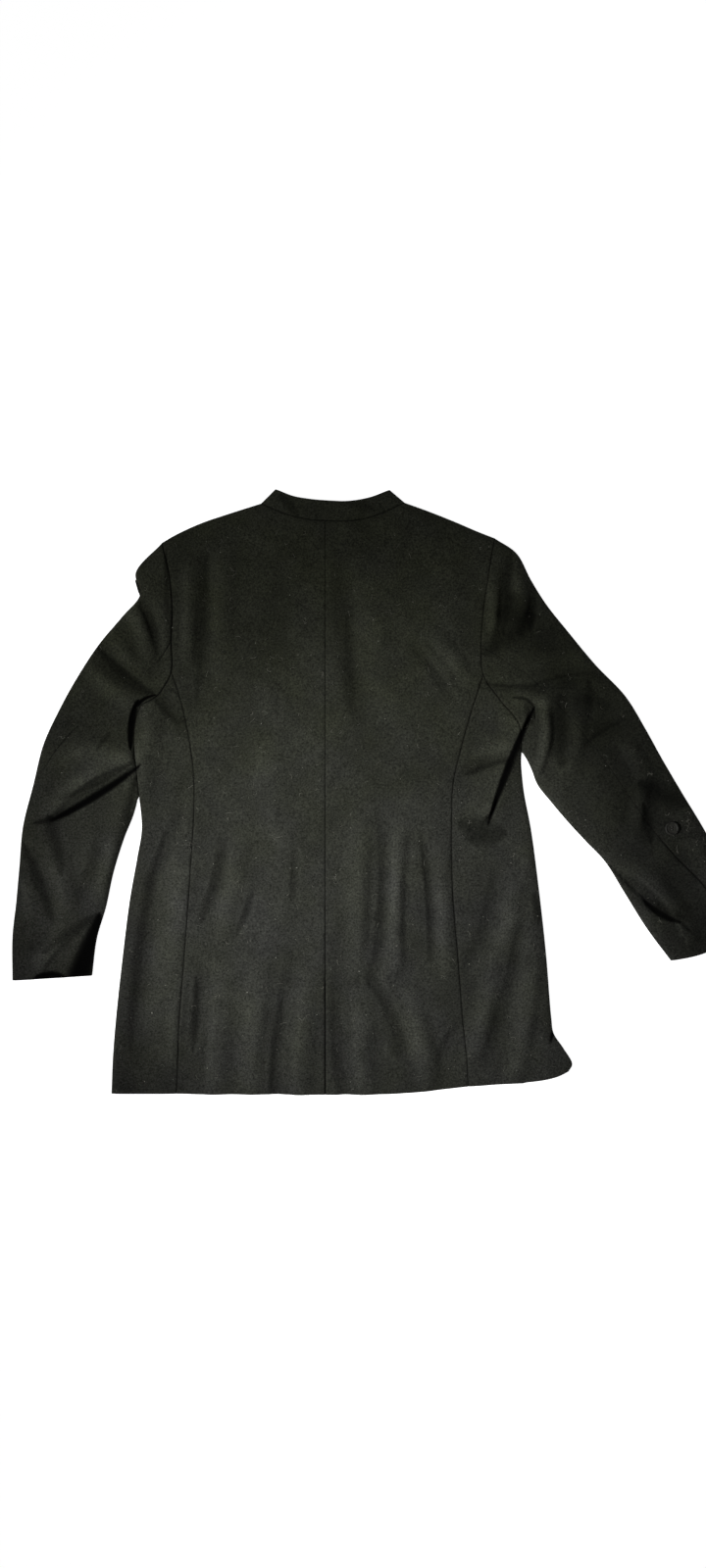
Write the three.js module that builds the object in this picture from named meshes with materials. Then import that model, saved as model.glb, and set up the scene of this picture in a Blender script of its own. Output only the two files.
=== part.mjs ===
// A blazer laid flat on its front, with its back up: two back panels, two side bodies, two fronts,
// a stand collar, two-piece sleeves and one sleeve button. Units are millimetres. The table is
// z = 0 and the back faces +Z. The hem points to -Y, and the wearer's left is at -X.
//
// Every piece is a wall of cloth between two nets of points. A net is drawn in plan between the
// piece's seams and turned edges, and each point is then lifted to the upper or the lower layer.
import * as THREE from "three";

// ---- Driving dimensions ----
const CLOTH = 2; // thickness of the cloth
const SEAM_GAP = 0.3; // clearance between two pieces at a seam
const EDGE_HEIGHT = 3.4; // height of the outermost line of a turned edge
const TOP_HEIGHT = 7.8; // upper face of the upper layer, between folds
const LOWEST_TOP = 4.8; // the deepest trough of the upper layer
const HIGHEST_RIDGE = 15; // ridges that cross never add up to more than this
const EDGE_ROLL = 16; // the upper layer rises from a turned edge over this distance
const HEM_SINK = 1; // hem and cuffs lie this much lower than the rest
const HEM_REACH = 60; // and sink over this distance
const HEM_TUCK = 3; // the fronts' hem stays this far inside the back's
const CENTRE_X = -73; // centre-back and centre-front line
const HEM_Y = -401; // hem at the centre back
const BACK_NECK_Y = 358; // neck seam at the centre back
const FRONT_NECK_Y = 283; // neck seam at the centre front
const FRONT_SEAM_INSET = 60; // a front's side seam, in from the turned edge
const FRONT_PARTING = 1; // gap between the two fronts' edges
const BEND_REACH = 130; // a curved end row straightens out over this distance
const MESH_STEP = 26; // spacing of the nets' points
const BUTTON = { diameter: 18, thickness: 3.2, rim: 1.6, foot: 8, footHeight: 1, x: 383.5, y: -49 };

const CLOTH_COLOUR = 0x2d2d29;
const BUTTON_COLOUR = 0x1c1b19;

// ---- Tables ----
function table(columns, rows) {
  const names = columns.split(" ");
  return rows.map((row) => Object.fromEntries(names.map((name, k) => [name, row[k]])));
}

// Side bodies from the hem up: the turned edge and the side-back seam.
const SIDES = {
  left: table("edgeX edgeY seamX seamY", [
    [-356, -400, -270, -400],
    [-354, -350, -267, -350],
    [-350, -300, -265, -300],
    [-342, -225, -259, -220],
    [-332, -145, -253, -140],
    [-322, -88, -249, -75],
    [-316, -50, -246, -20],
    [-319, -10, -247, 25],
    [-323, 30, -251, 60],
    [-326, 66, -258, 95],
    [-324, 92, -266, 128],
    [-316, 114, -276, 158],
  ]),
  right: table("edgeX edgeY seamX seamY", [
    [249, -370.5, 116, -390],
    [253.6, -361, 115, -372],
    [242, -340, 114, -355],
    [229, -320, 112, -335],
    [226, -300, 109, -305],
    [219, -215, 102, -215],
    [209, -125, 95, -125],
    [199, -50, 94, -45],
    [190, -3, 96, 10],
    [187, 23, 106, 55],
    [186, 40, 119, 102],
    [187, 56, 136, 154],
  ]),
};

// Armholes on the back, from the shoulder to the underarm. Row 3 is where the elbow seam starts,
// and row 4 is the top of the side-back seam.
const BACK_ARMHOLES = table("leftX leftY rightX rightY", [
  [-289, 329, 151, 335],
  [-279, 286, 143, 289],
  [-275, 240, 136, 240],
  [-276, 198, 133, 190],
  [-276, 158, 136, 154],
  [-286, 138, 157, 122],
  [-298, 124, 182, 90],
  [-316, 114, 187, 56],
]);
const ELBOW_ROW = 3;
const BACK_SEAM_ROW = 4;

// Armholes on the front. Row 4 is the top of the front's side seam, and row 5 is where the
// sleeve's front seam starts.
const FRONT_ARMHOLES = table("leftX leftY rightX rightY", [
  [-289, 329, 151, 335],
  [-268, 285, 137, 290],
  [-257, 235, 121, 235],
  [-256, 190, 121, 180],
  [-263, 158, 130, 132],
  [-280, 132, 152, 106],
  [-297, 121, 177, 82],
  [-316, 114, 187, 56],
]);
const FRONT_SEAM_ROW = 4;
const SLEEVE_SEAM_ROW = 5;

// Shoulder lines, from the armhole to the neck.
const SHOULDERS = table("leftX leftY rightX rightY", [
  [-289, 329, 151, 335],
  [-270, 340, 128, 344],
  [-237, 355, 100, 356],
  [-205, 366, 65, 370],
  [-158, 381, 32, 382],
]);

// Collar band: its neck seam and its top edge, along the back neck and down each front.
const BACK_BAND = table("seamX seamY topX topY", [
  [-158, 381, -139, 400],
  [-132, 369, -117, 391],
  [-103, 361, -96, 387],
  [CENTRE_X, BACK_NECK_Y, -73, 385],
  [-36, 358, -42, 384],
  [0, 367, -14, 389],
  [32, 382, 12, 399],
]);
const CENTRE_BACK_ROW = 3;
const FRONT_BANDS = {
  left: table("seamX seamY topX topY", [
    [-158, 381, -139, 400],
    [-143, 340, -116, 350],
    [-112, 300, -95, 323],
    [CENTRE_X, FRONT_NECK_Y, CENTRE_X, 312],
  ]),
  right: table("seamX seamY topX topY", [
    [32, 382, 12, 399],
    [12, 335, -15, 348],
    [-30, 297, -48, 320],
    [CENTRE_X, FRONT_NECK_Y, CENTRE_X, 312],
  ]),
};

// Sleeves from the armhole to the cuff: outer edge, elbow seam and inner edge.
const SLEEVES = {
  left: table("outerX outerY elbowX elbowY innerX innerY", [
    [-289, 329, -276, 198, -316, 114],
    [-324, 289, -292, 174, -322, 103],
    [-318, 261, -309, 158, -325.5, 90],
    [-342, 231, -325, 145, -327, 75],
    [-373, 194, -351, 125, -327, 59],
    [-403, 148, -375, 106, -325.5, 42],
    [-426, 106, -403, 83, -323.7, 23],
    [-446, 62, -431, 50, -321, -6],
    [-459, 10, -454, 9, -326, -29],
    [-473, -46, -468, -47, -339, -62],
    [-478, -101, -473, -101, -353, -107],
    [-482, -146, -477, -146, -363, -153],
    [-487, -192, -482, -192, -375, -194],
    [-487, -250, -482, -250, -381.5, -244],
  ]),
  right: table("outerX outerY elbowX elbowY innerX innerY", [
    [151, 335, 133, 190, 187, 56],
    [180, 315, 153, 181, 189, 50],
    [199, 280, 170, 168, 191, 46],
    [219, 248, 190, 157, 194, 41],
    [250, 209, 217, 133, 200, 28],
    [284, 168, 250, 97, 207.5, 9],
    [324, 126, 280, 62, 225.5, -14],
    [351, 82, 306, 27, 247.5, -40],
    [372, 44, 328, -6, 271.5, -66],
    [399, -2, 354, -43, 297, -93],
    [428, -50, 385, -81, 322, -133],
    [458, -107, 425, -123, 352, -181],
    [492, -173, 470, -191, 384, -224],
  ]),
};
const SLEEVE_SEAM_PART = 0.8; // the sleeve's front seam, on its way from outer to inner edge
const CUFF_BOWS = { left: 0, right: 6 };

// The hem right of the centre back, which rises towards a corner that has swung out.
const RIGHT_HEM = table("x y", [
  [CENTRE_X, HEM_Y],
  [31, -399],
  [116, -390],
  [190, -385],
  [230, -378.6],
  [249, -370.5],
]);
const RIGHT_HEM_SEAM_ROW = 2;

// Folds of the upper layer: a curved path, how far it bows to its left, its height at the start,
// middle and end (a trough is negative), and how far it spreads to its left and right.
const FOLDS = table("x1 y1 x2 y2 bow start middle end left right", [
  // upper back
  [-253, 300, -256, 175, 0, 2, 4, 2, 14, 12],
  [-231, 312, -241, 170, 1, -2, -3, -2, 10, 10],
  [-211, 312, -216, 165, 0, 2, 4.5, 2, 26, 14],
  [-52, 300, -18, 62, -6, -1, -3, -1, 18, 18],
  [-20, 300, 8, 110, -4, 1, 3, 1, 26, 24],
  [35, 205, 98, 118, 4, 0, -3, -1, 10, 12],
  [60, 215, 112, 150, 4, 1, 3.5, 2, 16, 14],
  // middle and lower back
  [-190, -60, -214, -185, 4, 1, 4, 2, 22, 14],
  [-208, -62, -237, -172, 5, -1, -3, -1, 9, 9],
  [-166, -125, -190, -190, 3, -1, -3, -1, 8, 8],
  [-111, -80, -114, -145, 0, -1, -3, -1, 8, 8],
  [-114, -215, -137, -401, -6, -1, -3.5, -3, 12, 12],
  [-94, -235, -108, -401, -4, 1, 4, 4, 26, 15],
  [-150, -225, -172, -401, -4, 1, 4, 3, 18, 26],
  [-56, -245, -47, -401, -4, -1, -3.5, -3, 12, 12],
  [-26, -260, -22, -401, -3, 1, 5, 4, 24, 16],
  [2, -28, -9, -250, 10, -1, -4, -3, 12, 12],
  [-9, -250, 31, -358, 8, -3, -4, -1, 12, 12],
  [-26, -45, -30, -235, 0, 1, 5, 3, 17, 26],
  [28, -40, 22, -230, -4, 1, 6, 3, 14, 20],
  [55, -52, 68, -222, 4, -1, -4, -1, 8, 8],
  [78, -60, 86, -235, 0, 1, 4, 2, 18, 12],
  [35, -270, 62, -385, 4, 2, 5, 3, 22, 20],
  [107, -305, 80, -358, -4, -1, -3, -1, 10, 10],
  [-238, -232, -248, -335, 3, -1, -4, -1, 10, 10],
  [-215, -225, -222, -401, 0, 1, 5, 3, 26, 14],
  [-264, -235, -274, -360, 0, 1, 4, 2, 14, 20],
  // left side body
  [-257, 12, -303, -122, 6, -1, -3, -3, 14, 14],
  [-303, -122, -333, -330, 6, -3, -3, -1, 14, 14],
  [-262, -75, -300, -300, 8, 1, 4, 2, 24, 24],
  [-299, 134, -257, 80, 6, -2, -3, -1, 12, 12],
  [-300, 108, -308, 45, 0, 4, 7, 2, 22, 22],
  // right side body
  [187, 80, 141, -30, 2, 4, 7, 4, 6, 34],
  [131, -35, 127, -68, 0, -1, -3, -1, 20, 18],
  [166, 47, 104, 15, -6, -1, -3, -1, 12, 12],
  [178, 62, 120, 42, -4, 2, 4, 1, 14, 18],
  [152, -105, 114, -235, 8, -1, -3, -1, 12, 12],
  [176, -115, 148, -225, 6, 1, 4, 2, 22, 16],
  [185, -182, 139, -363, 6, -1, -3.5, -1, 13, 13],
  [204, -195, 178, -370, 4, 1, 5, 3, 18, 22],
  [148, -220, 124, -345, 4, 1, 4, 2, 16, 22],
  // left sleeve
  [-327, 240, -308, 175, 4, 3, 6, 2, 16, 16],
  [-319, 255, -290, 172, 6, -2, -3, -1, 10, 10],
  [-298, 262, -284, 185, 4, 1, 4, 1, 14, 14],
  [-371, 192, -299, 129, -5, -2, -3, -2, 11, 11],
  [-352, 203, -312, 158, -4, 2, 5, 2, 16, 16],
  [-385, 165, -322, 118, -5, 2, 7, 3, 18, 20],
  [-426, 46, -326, 47, 6, 2, 6, 4, 22, 20],
  [-330, 38, -432, -28, -10, 4, 7, 3, 5, 24],
  [-322, 26, -439, -50, -10, -2, -3, -2, 12, 8],
  [-472, -75, -438, -165, 6, -2, -3, -1, 10, 10],
  [-430, -85, -415, -170, 4, 2, 6, 2, 22, 18],
  [-468, -112, -462, -170, 0, 1, 3, 1, 12, 10],
  [-368, -50, -394, -135, 4, -1, -3, -1, 12, 12],
  [-348, -62, -376, -150, 4, 1, 4, 1, 20, 16],
  [-371, -159, -478, -212, 6, -2, -3, -2, 14, 14],
  [-450, -236, -404, -186, 4, 3, 7, 3, 24, 8],
  // right sleeve
  [168, 325, 153, 188, 4, -1, -3, -2, 11, 11],
  [148, 285, 150, 215, 0, 1, 4, 2, 12, 12],
  [180, 290, 186, 240, 0, 2, 6, 3, 15, 14],
  [204, 268, 190, 212, 4, -2, -3, -3, 11, 11],
  [184, 208, 164, 206, 0, -1, -1.5, -1, 20, 20],
  [198, 170, 292, 172, 5, 2, 5, 2, 20, 18],
  [136, 140, 299, 154, -6, -2, -3, -2, 8, 9],
  [186, 122, 268, 134, -6, 2, 6, 2, 16, 20],
  [216, 116, 206, 28, 8, 3, 6, 2, 11, 11],
  [240, 116, 222, 28, 8, -1, -1.5, -1, 16, 14],
  [252, 108, 252, 45, 6, 2, 5, 2, 18, 14],
  [328, 94, 281, 66, -6, -1, -3, -1, 11, 11],
  [318, 66, 345, 24, 4, 2, 4, 2, 18, 16],
  [377, 36, 355, -62, -6, -1, -2, -1, 16, 16],
  [348, 14, 336, -58, 0, 1, 4, 2, 18, 18],
  [316, -100, 400, -190, 14, 2, 6, 4, 26, 6],
  [410, -70, 440, -140, 6, 2, 5, 2, 20, 20],
]);

// ---- Plan: lists of points along seams and edges ----
const point = (x, y) => new THREE.Vector2(x, y);
const column = (rows, name) => rows.map((row) => point(row[`${name}X`], row[`${name}Y`]));
const backwards = (points) => [...points].reverse();
const distancesOfTurn = (reach, angles) =>
  angles.map((angle) => reach * (1 - Math.cos(THREE.MathUtils.degToRad(angle))));
const TOP_TURN = distancesOfTurn(EDGE_ROLL, [30, 60, 90]);
const BOTTOM_TURN = distancesOfTurn(EDGE_HEIGHT, [45, 90]);

function smoothCurve(points) {
  const inSpace = points.map((p) => new THREE.Vector3(p.x, p.y, 0));
  return new THREE.CatmullRomCurve3(inSpace, false, "centripetal");
}

const sample = (curve, places) =>
  places.map((place) => curve.getPoint(place)).map((p) => point(p.x, p.y));

// Distances along a width, close together next to a turned edge at either end.
function spread(width, startTurn, middle, endTurn) {
  const turned = (startTurn.at(-1) ?? 0) + (endTurn.at(-1) ?? 0);
  const scale = turned > 0 ? Math.min(1, width / (1.5 * turned)) : 1;
  const start = [0, ...startTurn.map((d) => d * scale)];
  const end = backwards([0, ...endTurn.map((d) => d * scale)]).map((d) => width - d);
  const between = Array.from({ length: middle - 1 }, (_, k) =>
    THREE.MathUtils.lerp(start.at(-1), end[0], (k + 1) / middle));
  return [...start, ...between, ...end];
}

// Points along a smooth curve through the given ones, with the index of each given one.
function divide(points, step, startTurn = [], endTurn = []) {
  const curve = smoothCurve(points);
  const last = points.length - 1;
  const places = [];
  const marks = [];
  for (let k = 0; k < last; k += 1) {
    const length = points[k].distanceTo(points[k + 1]);
    const atStart = k === 0 ? startTurn : [];
    const atEnd = k === last - 1 ? endTurn : [];
    const plain = length - (atStart.at(-1) ?? 0) - (atEnd.at(-1) ?? 0);
    const middle = Math.max(1, Math.round(plain / step));
    marks.push(places.length);
    const distances = spread(length, atStart, middle, atEnd).slice(0, -1);
    places.push(...distances.map((d) => (k + d / length) / last));
  }
  marks.push(places.length);
  places.push(1);
  const list = sample(curve, places);
  return { list, marks, places, between: (a, b) => list.slice(marks[a], marks[b] + 1) };
}

// The named lines of a table of sections, all divided at the same places.
function divideSections(rows, names, step) {
  const lines = names.map((name) => column(rows, name));
  const curves = lines.map(smoothCurve);
  const last = rows.length - 1;
  const places = [0];
  for (let k = 0; k < last; k += 1) {
    const longest = Math.max(...lines.map((line) => line[k].distanceTo(line[k + 1])));
    const parts = Math.max(1, Math.round(longest / step));
    for (let i = 1; i <= parts; i += 1) places.push((k + i / parts) / last);
  }
  return Object.fromEntries(names.map((name, k) => [name, sample(curves[k], places)]));
}

// Points along a smooth curve at the given parts of its length.
function follow(points, parts) {
  const curve = smoothCurve(points);
  return parts.map((part) => curve.getPointAt(part)).map((p) => point(p.x, p.y));
}

// Parts of the way along a list, one for each of its points.
function partsAlong(points) {
  const lengths = [0];
  points.slice(1).forEach((p, k) => lengths.push(lengths[k] + p.distanceTo(points[k])));
  return lengths.map((length) => length / lengths.at(-1));
}

// A net between two sides, row by row. The first and last rows may follow lists of their own,
// which the rows near them take after less and less.
function net(left, right, across, firstRow, lastRow) {
  const middles = left.map((a, i) => a.clone().lerp(right[i], 0.5));
  const along = partsAlong(middles);
  const length = middles.slice(1).reduce((sum, m, k) => sum + m.distanceTo(middles[k]), 0);
  const rows = left.map((a, i) => {
    const width = a.distanceTo(right[i]);
    return across(width, along[i]).map((part) => a.clone().lerp(right[i], part));
  });
  const bend = (target, row, partFrom) => {
    const shifts = target.map((p, j) => p.clone().sub(rows[row][j]));
    rows.forEach((points, i) => {
      const weight = Math.max(0, 1 - (partFrom(along[i]) * length) / BEND_REACH) ** 2;
      points.forEach((p, j) => p.addScaledVector(shifts[j], weight));
    });
  };
  if (firstRow) bend(firstRow, 0, (part) => part);
  if (lastRow) bend(lastRow, rows.length - 1, (part) => 1 - part);
  return rows;
}

// Columns that stand close together next to a turned edge on the net's left.
const fromTurnedEdge = (turn, middle) => (width) =>
  spread(width, turn, middle, []).map((d) => d / width);

// Columns that are even in the first row and match the last row's points in the last.
function fromEvenTo(points) {
  const parts = partsAlong(points);
  return (width, along) =>
    parts.map((part, j) => THREE.MathUtils.lerp(j / (parts.length - 1), part, along));
}

const turnNet = (rows) => rows[0].map((_, j) => rows.map((row) => row[j]));

// Draws a net back from its seams by half the seam gap.
function drawBack(rows, sides, gap = SEAM_GAP / 2) {
  const lines = {
    first: (grid) => [grid[0], grid[1]],
    last: (grid) => [grid.at(-1), grid.at(-2)],
    left: (grid) => [grid.map((row) => row[0]), grid.map((row) => row[1])],
    right: (grid) => [grid.map((row) => row.at(-1)), grid.map((row) => row.at(-2))],
  };
  for (const side of sides) {
    const [line, next] = lines[side](rows);
    const moves = line.map((p, k) => {
      const before = line[Math.max(0, k - 1)];
      const after = line[Math.min(line.length - 1, k + 1)];
      const along = after.clone().sub(before).normalize();
      const inward = point(-along.y, along.x);
      const sign = Math.sign(inward.dot(next[k].clone().sub(p)));
      return inward.multiplyScalar(sign * gap);
    });
    line.forEach((p, k) => p.add(moves[k]));
  }
  return rows;
}

// ---- Height of the two layers ----
const turnedEdges = []; // lists of points, filled in as the plan is drawn
const hemLines = [];

// The step from the nearest point of the lines to p.
function stepFromLines(lines, p) {
  let nearest = point(Infinity, 0);
  for (const line of lines) {
    for (let k = 0; k < line.length - 1; k += 1) {
      const along = line[k + 1].clone().sub(line[k]);
      const step = p.clone().sub(line[k]);
      const part = THREE.MathUtils.clamp(step.dot(along) / along.lengthSq(), 0, 1);
      step.addScaledVector(along, -part);
      if (step.length() < nearest.length()) nearest = step;
    }
  }
  return nearest;
}

const PATH_PARTS = 8;
const foldPaths = FOLDS.map((fold) => {
  const start = point(fold.x1, fold.y1);
  const end = point(fold.x2, fold.y2);
  const along = end.clone().sub(start);
  const bow = point(-along.y, along.x).setLength(2 * fold.bow);
  const middle = start.clone().lerp(end, 0.5).add(fold.bow < 0 ? bow.negate() : bow);
  return new THREE.QuadraticBezierCurve(start, middle, end).getPoints(PATH_PARTS);
});

// Height that one fold adds at a point: a bump across its path, nothing beyond its spread.
function foldHeight(fold, path, p) {
  let nearest = Infinity;
  let place = 0;
  let isLeft = false;
  for (let k = 0; k < PATH_PARTS; k += 1) {
    const [a, b] = [path[k], path[k + 1]];
    const [dx, dy] = [b.x - a.x, b.y - a.y];
    const [px, py] = [p.x - a.x, p.y - a.y];
    const part = THREE.MathUtils.clamp((px * dx + py * dy) / (dx * dx + dy * dy), 0, 1);
    const distance = Math.hypot(px - dx * part, py - dy * part);
    if (distance < nearest) {
      nearest = distance;
      place = (k + part) / PATH_PARTS;
      isLeft = dx * py - dy * px > 0;
    }
  }
  const spreadHere = isLeft ? fold.left : fold.right;
  if (nearest >= spreadHere) return 0;
  const profile = (1 - (nearest / spreadHere) ** 2) ** 2;
  const size =
    fold.start * (1 - place) * (1 - 2 * place) +
    fold.middle * 4 * place * (1 - place) +
    fold.end * place * (2 * place - 1);
  return size * profile;
}

// Upper face of the upper layer away from turned edges.
function crest(p) {
  const folds = FOLDS.reduce((sum, fold, k) => sum + foldHeight(fold, foldPaths[k], p), 0);
  const hemPart = Math.max(0, 1 - stepFromLines(hemLines, p).length() / HEM_REACH);
  const height = TOP_HEIGHT - HEM_SINK * hemPart ** 2;
  const rise = folds > 0
    ? HIGHEST_RIDGE * Math.tanh(folds / HIGHEST_RIDGE)
    : (height - LOWEST_TOP) * Math.tanh(folds / (height - LOWEST_TOP));
  return height + rise;
}

const roundOff = (part) => Math.sqrt(1 - (1 - Math.min(1, part)) ** 2);

// Outer and inner point of the cloth above one point of the plan. The inner point lies further
// from the turned edge, which a point on that edge can't tell, so that one is told the way in.
// Lift parts two pieces that meet on a turned edge.
function lifted(p, layer, wayIn, lift) {
  const reach = layer === "top" ? EDGE_ROLL : EDGE_HEIGHT;
  const step = stepFromLines(turnedEdges, p);
  const inward = step.length() > SEAM_GAP ? step.clone().normalize() : wayIn;
  const part = Math.min(1, step.length() / reach);
  const round = roundOff(part);
  const outerRise = layer === "top" ? crest(p) - EDGE_HEIGHT : -EDGE_HEIGHT;
  const innerRise = layer === "top" ? outerRise - CLOTH : CLOTH - EDGE_HEIGHT;
  const base = EDGE_HEIGHT + lift * (1 - part) ** 2;
  const shift = CLOTH * (1 - part);
  return {
    outer: new THREE.Vector3(p.x, p.y, base + outerRise * round),
    inner: new THREE.Vector3(p.x + inward.x * shift, p.y + inward.y * shift, base + innerRise * round),
  };
}

// One strip of cloth, made of stretches on the upper or lower layer that join at turned edges.
function strip(stretches) {
  const points = [];
  stretches.forEach(({ line, layer, turnAtStart, turnAtEnd, lift = 0 }, order) => {
    const steps = layer === "top" ? TOP_TURN.length : BOTTOM_TURN.length;
    const away = (from, to) => line.at(to).clone().sub(line.at(from)).normalize();
    const fromStart = turnAtStart ? away(0, steps) : null;
    const fromEnd = turnAtEnd ? away(-1, -1 - steps) : null;
    line.forEach((p, k) => {
      if (order > 0 && k === 0) return;
      const nearStart = fromStart && (!fromEnd || k < line.length / 2);
      points.push(lifted(p, layer, nearStart ? fromStart : fromEnd, lift));
    });
  });
  return points;
}

// ---- Solids ----
function wall(name, strips, colour = CLOTH_COLOUR) {
  const rows = strips.length;
  const columns = strips[0].length;
  const flat = strips.flat();
  const corners = [...flat.map((p) => p.outer), ...flat.map((p) => p.inner)];
  const index = [];
  const outer = (i, j) => i * columns + j;
  const inner = (i, j) => flat.length + outer(i, j);
  const quad = (a, b, c, d) => index.push(a, b, c, a, c, d);
  for (let i = 0; i < rows - 1; i += 1) {
    for (let j = 0; j < columns - 1; j += 1) {
      quad(outer(i, j), outer(i, j + 1), outer(i + 1, j + 1), outer(i + 1, j));
      quad(inner(i, j), inner(i + 1, j), inner(i + 1, j + 1), inner(i, j + 1));
    }
  }
  const rim = [];
  for (let j = 0; j < columns - 1; j += 1) rim.push([0, j]);
  for (let i = 0; i < rows - 1; i += 1) rim.push([i, columns - 1]);
  for (let j = columns - 1; j > 0; j -= 1) rim.push([rows - 1, j]);
  for (let i = rows - 1; i > 0; i -= 1) rim.push([i, 0]);
  rim.forEach((a, k) => {
    const b = rim[(k + 1) % rim.length];
    quad(outer(...b), outer(...a), inner(...a), inner(...b));
  });
  let volume = 0;
  for (let k = 0; k < index.length; k += 3) {
    const [a, b, c] = [corners[index[k]], corners[index[k + 1]], corners[index[k + 2]]];
    volume += a.dot(b.clone().cross(c));
  }
  if (volume < 0) index.reverse();
  const geometry = new THREE.BufferGeometry().setFromPoints(corners);
  geometry.setIndex(index);
  geometry.computeVertexNormals();
  const material = new THREE.MeshStandardMaterial({ color: colour, roughness: 0.95, metalness: 0 });
  const mesh = new THREE.Mesh(geometry, material);
  mesh.name = name;
  return mesh;
}

// ---- Plan of one half ----
function planOfHalf(side) {
  const sections = divideSections(SIDES[side], ["edge", "seam"], MESH_STEP);
  const sleeve = divideSections(SLEEVES[side], ["outer", "elbow", "inner"], MESH_STEP);
  const armhole = divide(column(BACK_ARMHOLES, side), MESH_STEP, TOP_TURN, TOP_TURN);
  const frontArmhole = divide(column(FRONT_ARMHOLES, side), MESH_STEP, BOTTOM_TURN, BOTTOM_TURN);
  const shoulder = divide(column(SHOULDERS, side), MESH_STEP).list;
  const frontBand = divideSections(FRONT_BANDS[side], ["seam", "top"], MESH_STEP);
  const collarEnd = [frontBand.seam[0], frontBand.top[0]];
  turnedEdges.push(sections.edge, sleeve.outer, sleeve.inner, shoulder, collarEnd);
  hemLines.push([sleeve.outer.at(-1), sleeve.inner.at(-1)]);
  return { sections, sleeve, armhole, frontArmhole, shoulder, frontBand };
}

const halves = { left: planOfHalf("left"), right: planOfHalf("right") };
const backNeck = divide(column(BACK_BAND, "seam"), MESH_STEP, TOP_TURN, TOP_TURN);
const backBandTop = sample(smoothCurve(column(BACK_BAND, "top")), backNeck.places);
const rightHem = RIGHT_HEM.map((row) => point(row.x, row.y));
const HEMS = {
  left: { back: [point(SIDES.left[0].seamX, SIDES.left[0].seamY), point(CENTRE_X, HEM_Y)] },
  right: {
    back: backwards(rightHem.slice(0, RIGHT_HEM_SEAM_ROW + 1)),
    side: backwards(rightHem.slice(RIGHT_HEM_SEAM_ROW)),
  },
};
HEMS.left.side = [halves.left.sections.edge[0], HEMS.left.back[0]];
hemLines.push(HEMS.left.side, HEMS.left.back, HEMS.right.back, HEMS.right.side);

// Points on a straight line up the centre, at the heights that the other side's points have.
function centreLine(x, bottom, top, others) {
  const [low, high] = [others[0].y, others.at(-1).y];
  return others.map((p) => point(x, THREE.MathUtils.mapLinear(p.y, low, high, bottom, top)));
}

// ---- Pieces ----
function backPanel(side) {
  const { sections, armhole, shoulder } = halves[side];
  const outer = [...sections.seam, ...backwards(armhole.between(0, BACK_SEAM_ROW)).slice(1)];
  const centre = centreLine(CENTRE_X, HEM_Y, BACK_NECK_Y, outer);
  const halfNeck = side === "left"
    ? backNeck.between(0, CENTRE_BACK_ROW)
    : backwards(backNeck.between(CENTRE_BACK_ROW, BACK_BAND.length - 1));
  const topRow = [...shoulder, ...halfNeck.slice(1)];
  const across = fromEvenTo(topRow);
  const hemRow = follow(HEMS[side].back, across(0, 0));
  const rows = net(outer, centre, across, hemRow, topRow);
  drawBack(rows, ["left", "right"]);
  const neckColumns = rows.at(-1).slice(shoulder.length - 1);
  const belowNeck = rows.at(-2).slice(shoulder.length - 1);
  drawBack([neckColumns, belowNeck], ["first"]);
  const strips = turnNet(rows).map((line) =>
    strip([{ line, layer: "top", turnAtEnd: true, lift: SEAM_GAP / 2 }]));
  return wall(`back_${side}`, strips);
}

function sideBody(side) {
  const { sections, armhole, frontArmhole } = halves[side];
  const underarm = backwards(armhole.between(BACK_SEAM_ROW, BACK_ARMHOLES.length - 1));
  const topAcross = fromTurnedEdge(TOP_TURN, underarm.length - 1 - TOP_TURN.length);
  const hemWidth = sections.edge[0].distanceTo(sections.seam[0]);
  const hemRow = follow(HEMS[side].side, topAcross(hemWidth));
  const top = net(sections.edge, sections.seam, topAcross, hemRow, underarm);
  drawBack(top, ["right", "last"]);

  const frontUnderarm = backwards(frontArmhole.between(FRONT_SEAM_ROW, FRONT_ARMHOLES.length - 1));
  const bottomAcross = fromTurnedEdge(BOTTOM_TURN, frontUnderarm.length - 1 - BOTTOM_TURN.length);
  const [seamFoot, seamTop] = frontSideSeam(side);
  const seam = partsAlong(sections.edge).map((part) => seamFoot.clone().lerp(seamTop, part));
  const bottom = net(sections.edge, seam, bottomAcross, null, frontUnderarm);
  drawBack(bottom, ["right", "last"]);

  return wall(`side_${side}`, top.map((line, i) => strip([
    { line: backwards(line), layer: "top", turnAtEnd: true },
    { line: bottom[i], layer: "bottom", turnAtStart: true },
  ])));
}

function frontSideSeam(side) {
  const { sections, frontArmhole } = halves[side];
  const towardsCentre = side === "left" ? 1 : -1;
  const corner = sections.edge[0];
  const foot = point(corner.x + towardsCentre * FRONT_SEAM_INSET, SIDES[side][0].seamY + HEM_TUCK);
  return [foot, frontArmhole.list[frontArmhole.marks[FRONT_SEAM_ROW]]];
}

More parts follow.
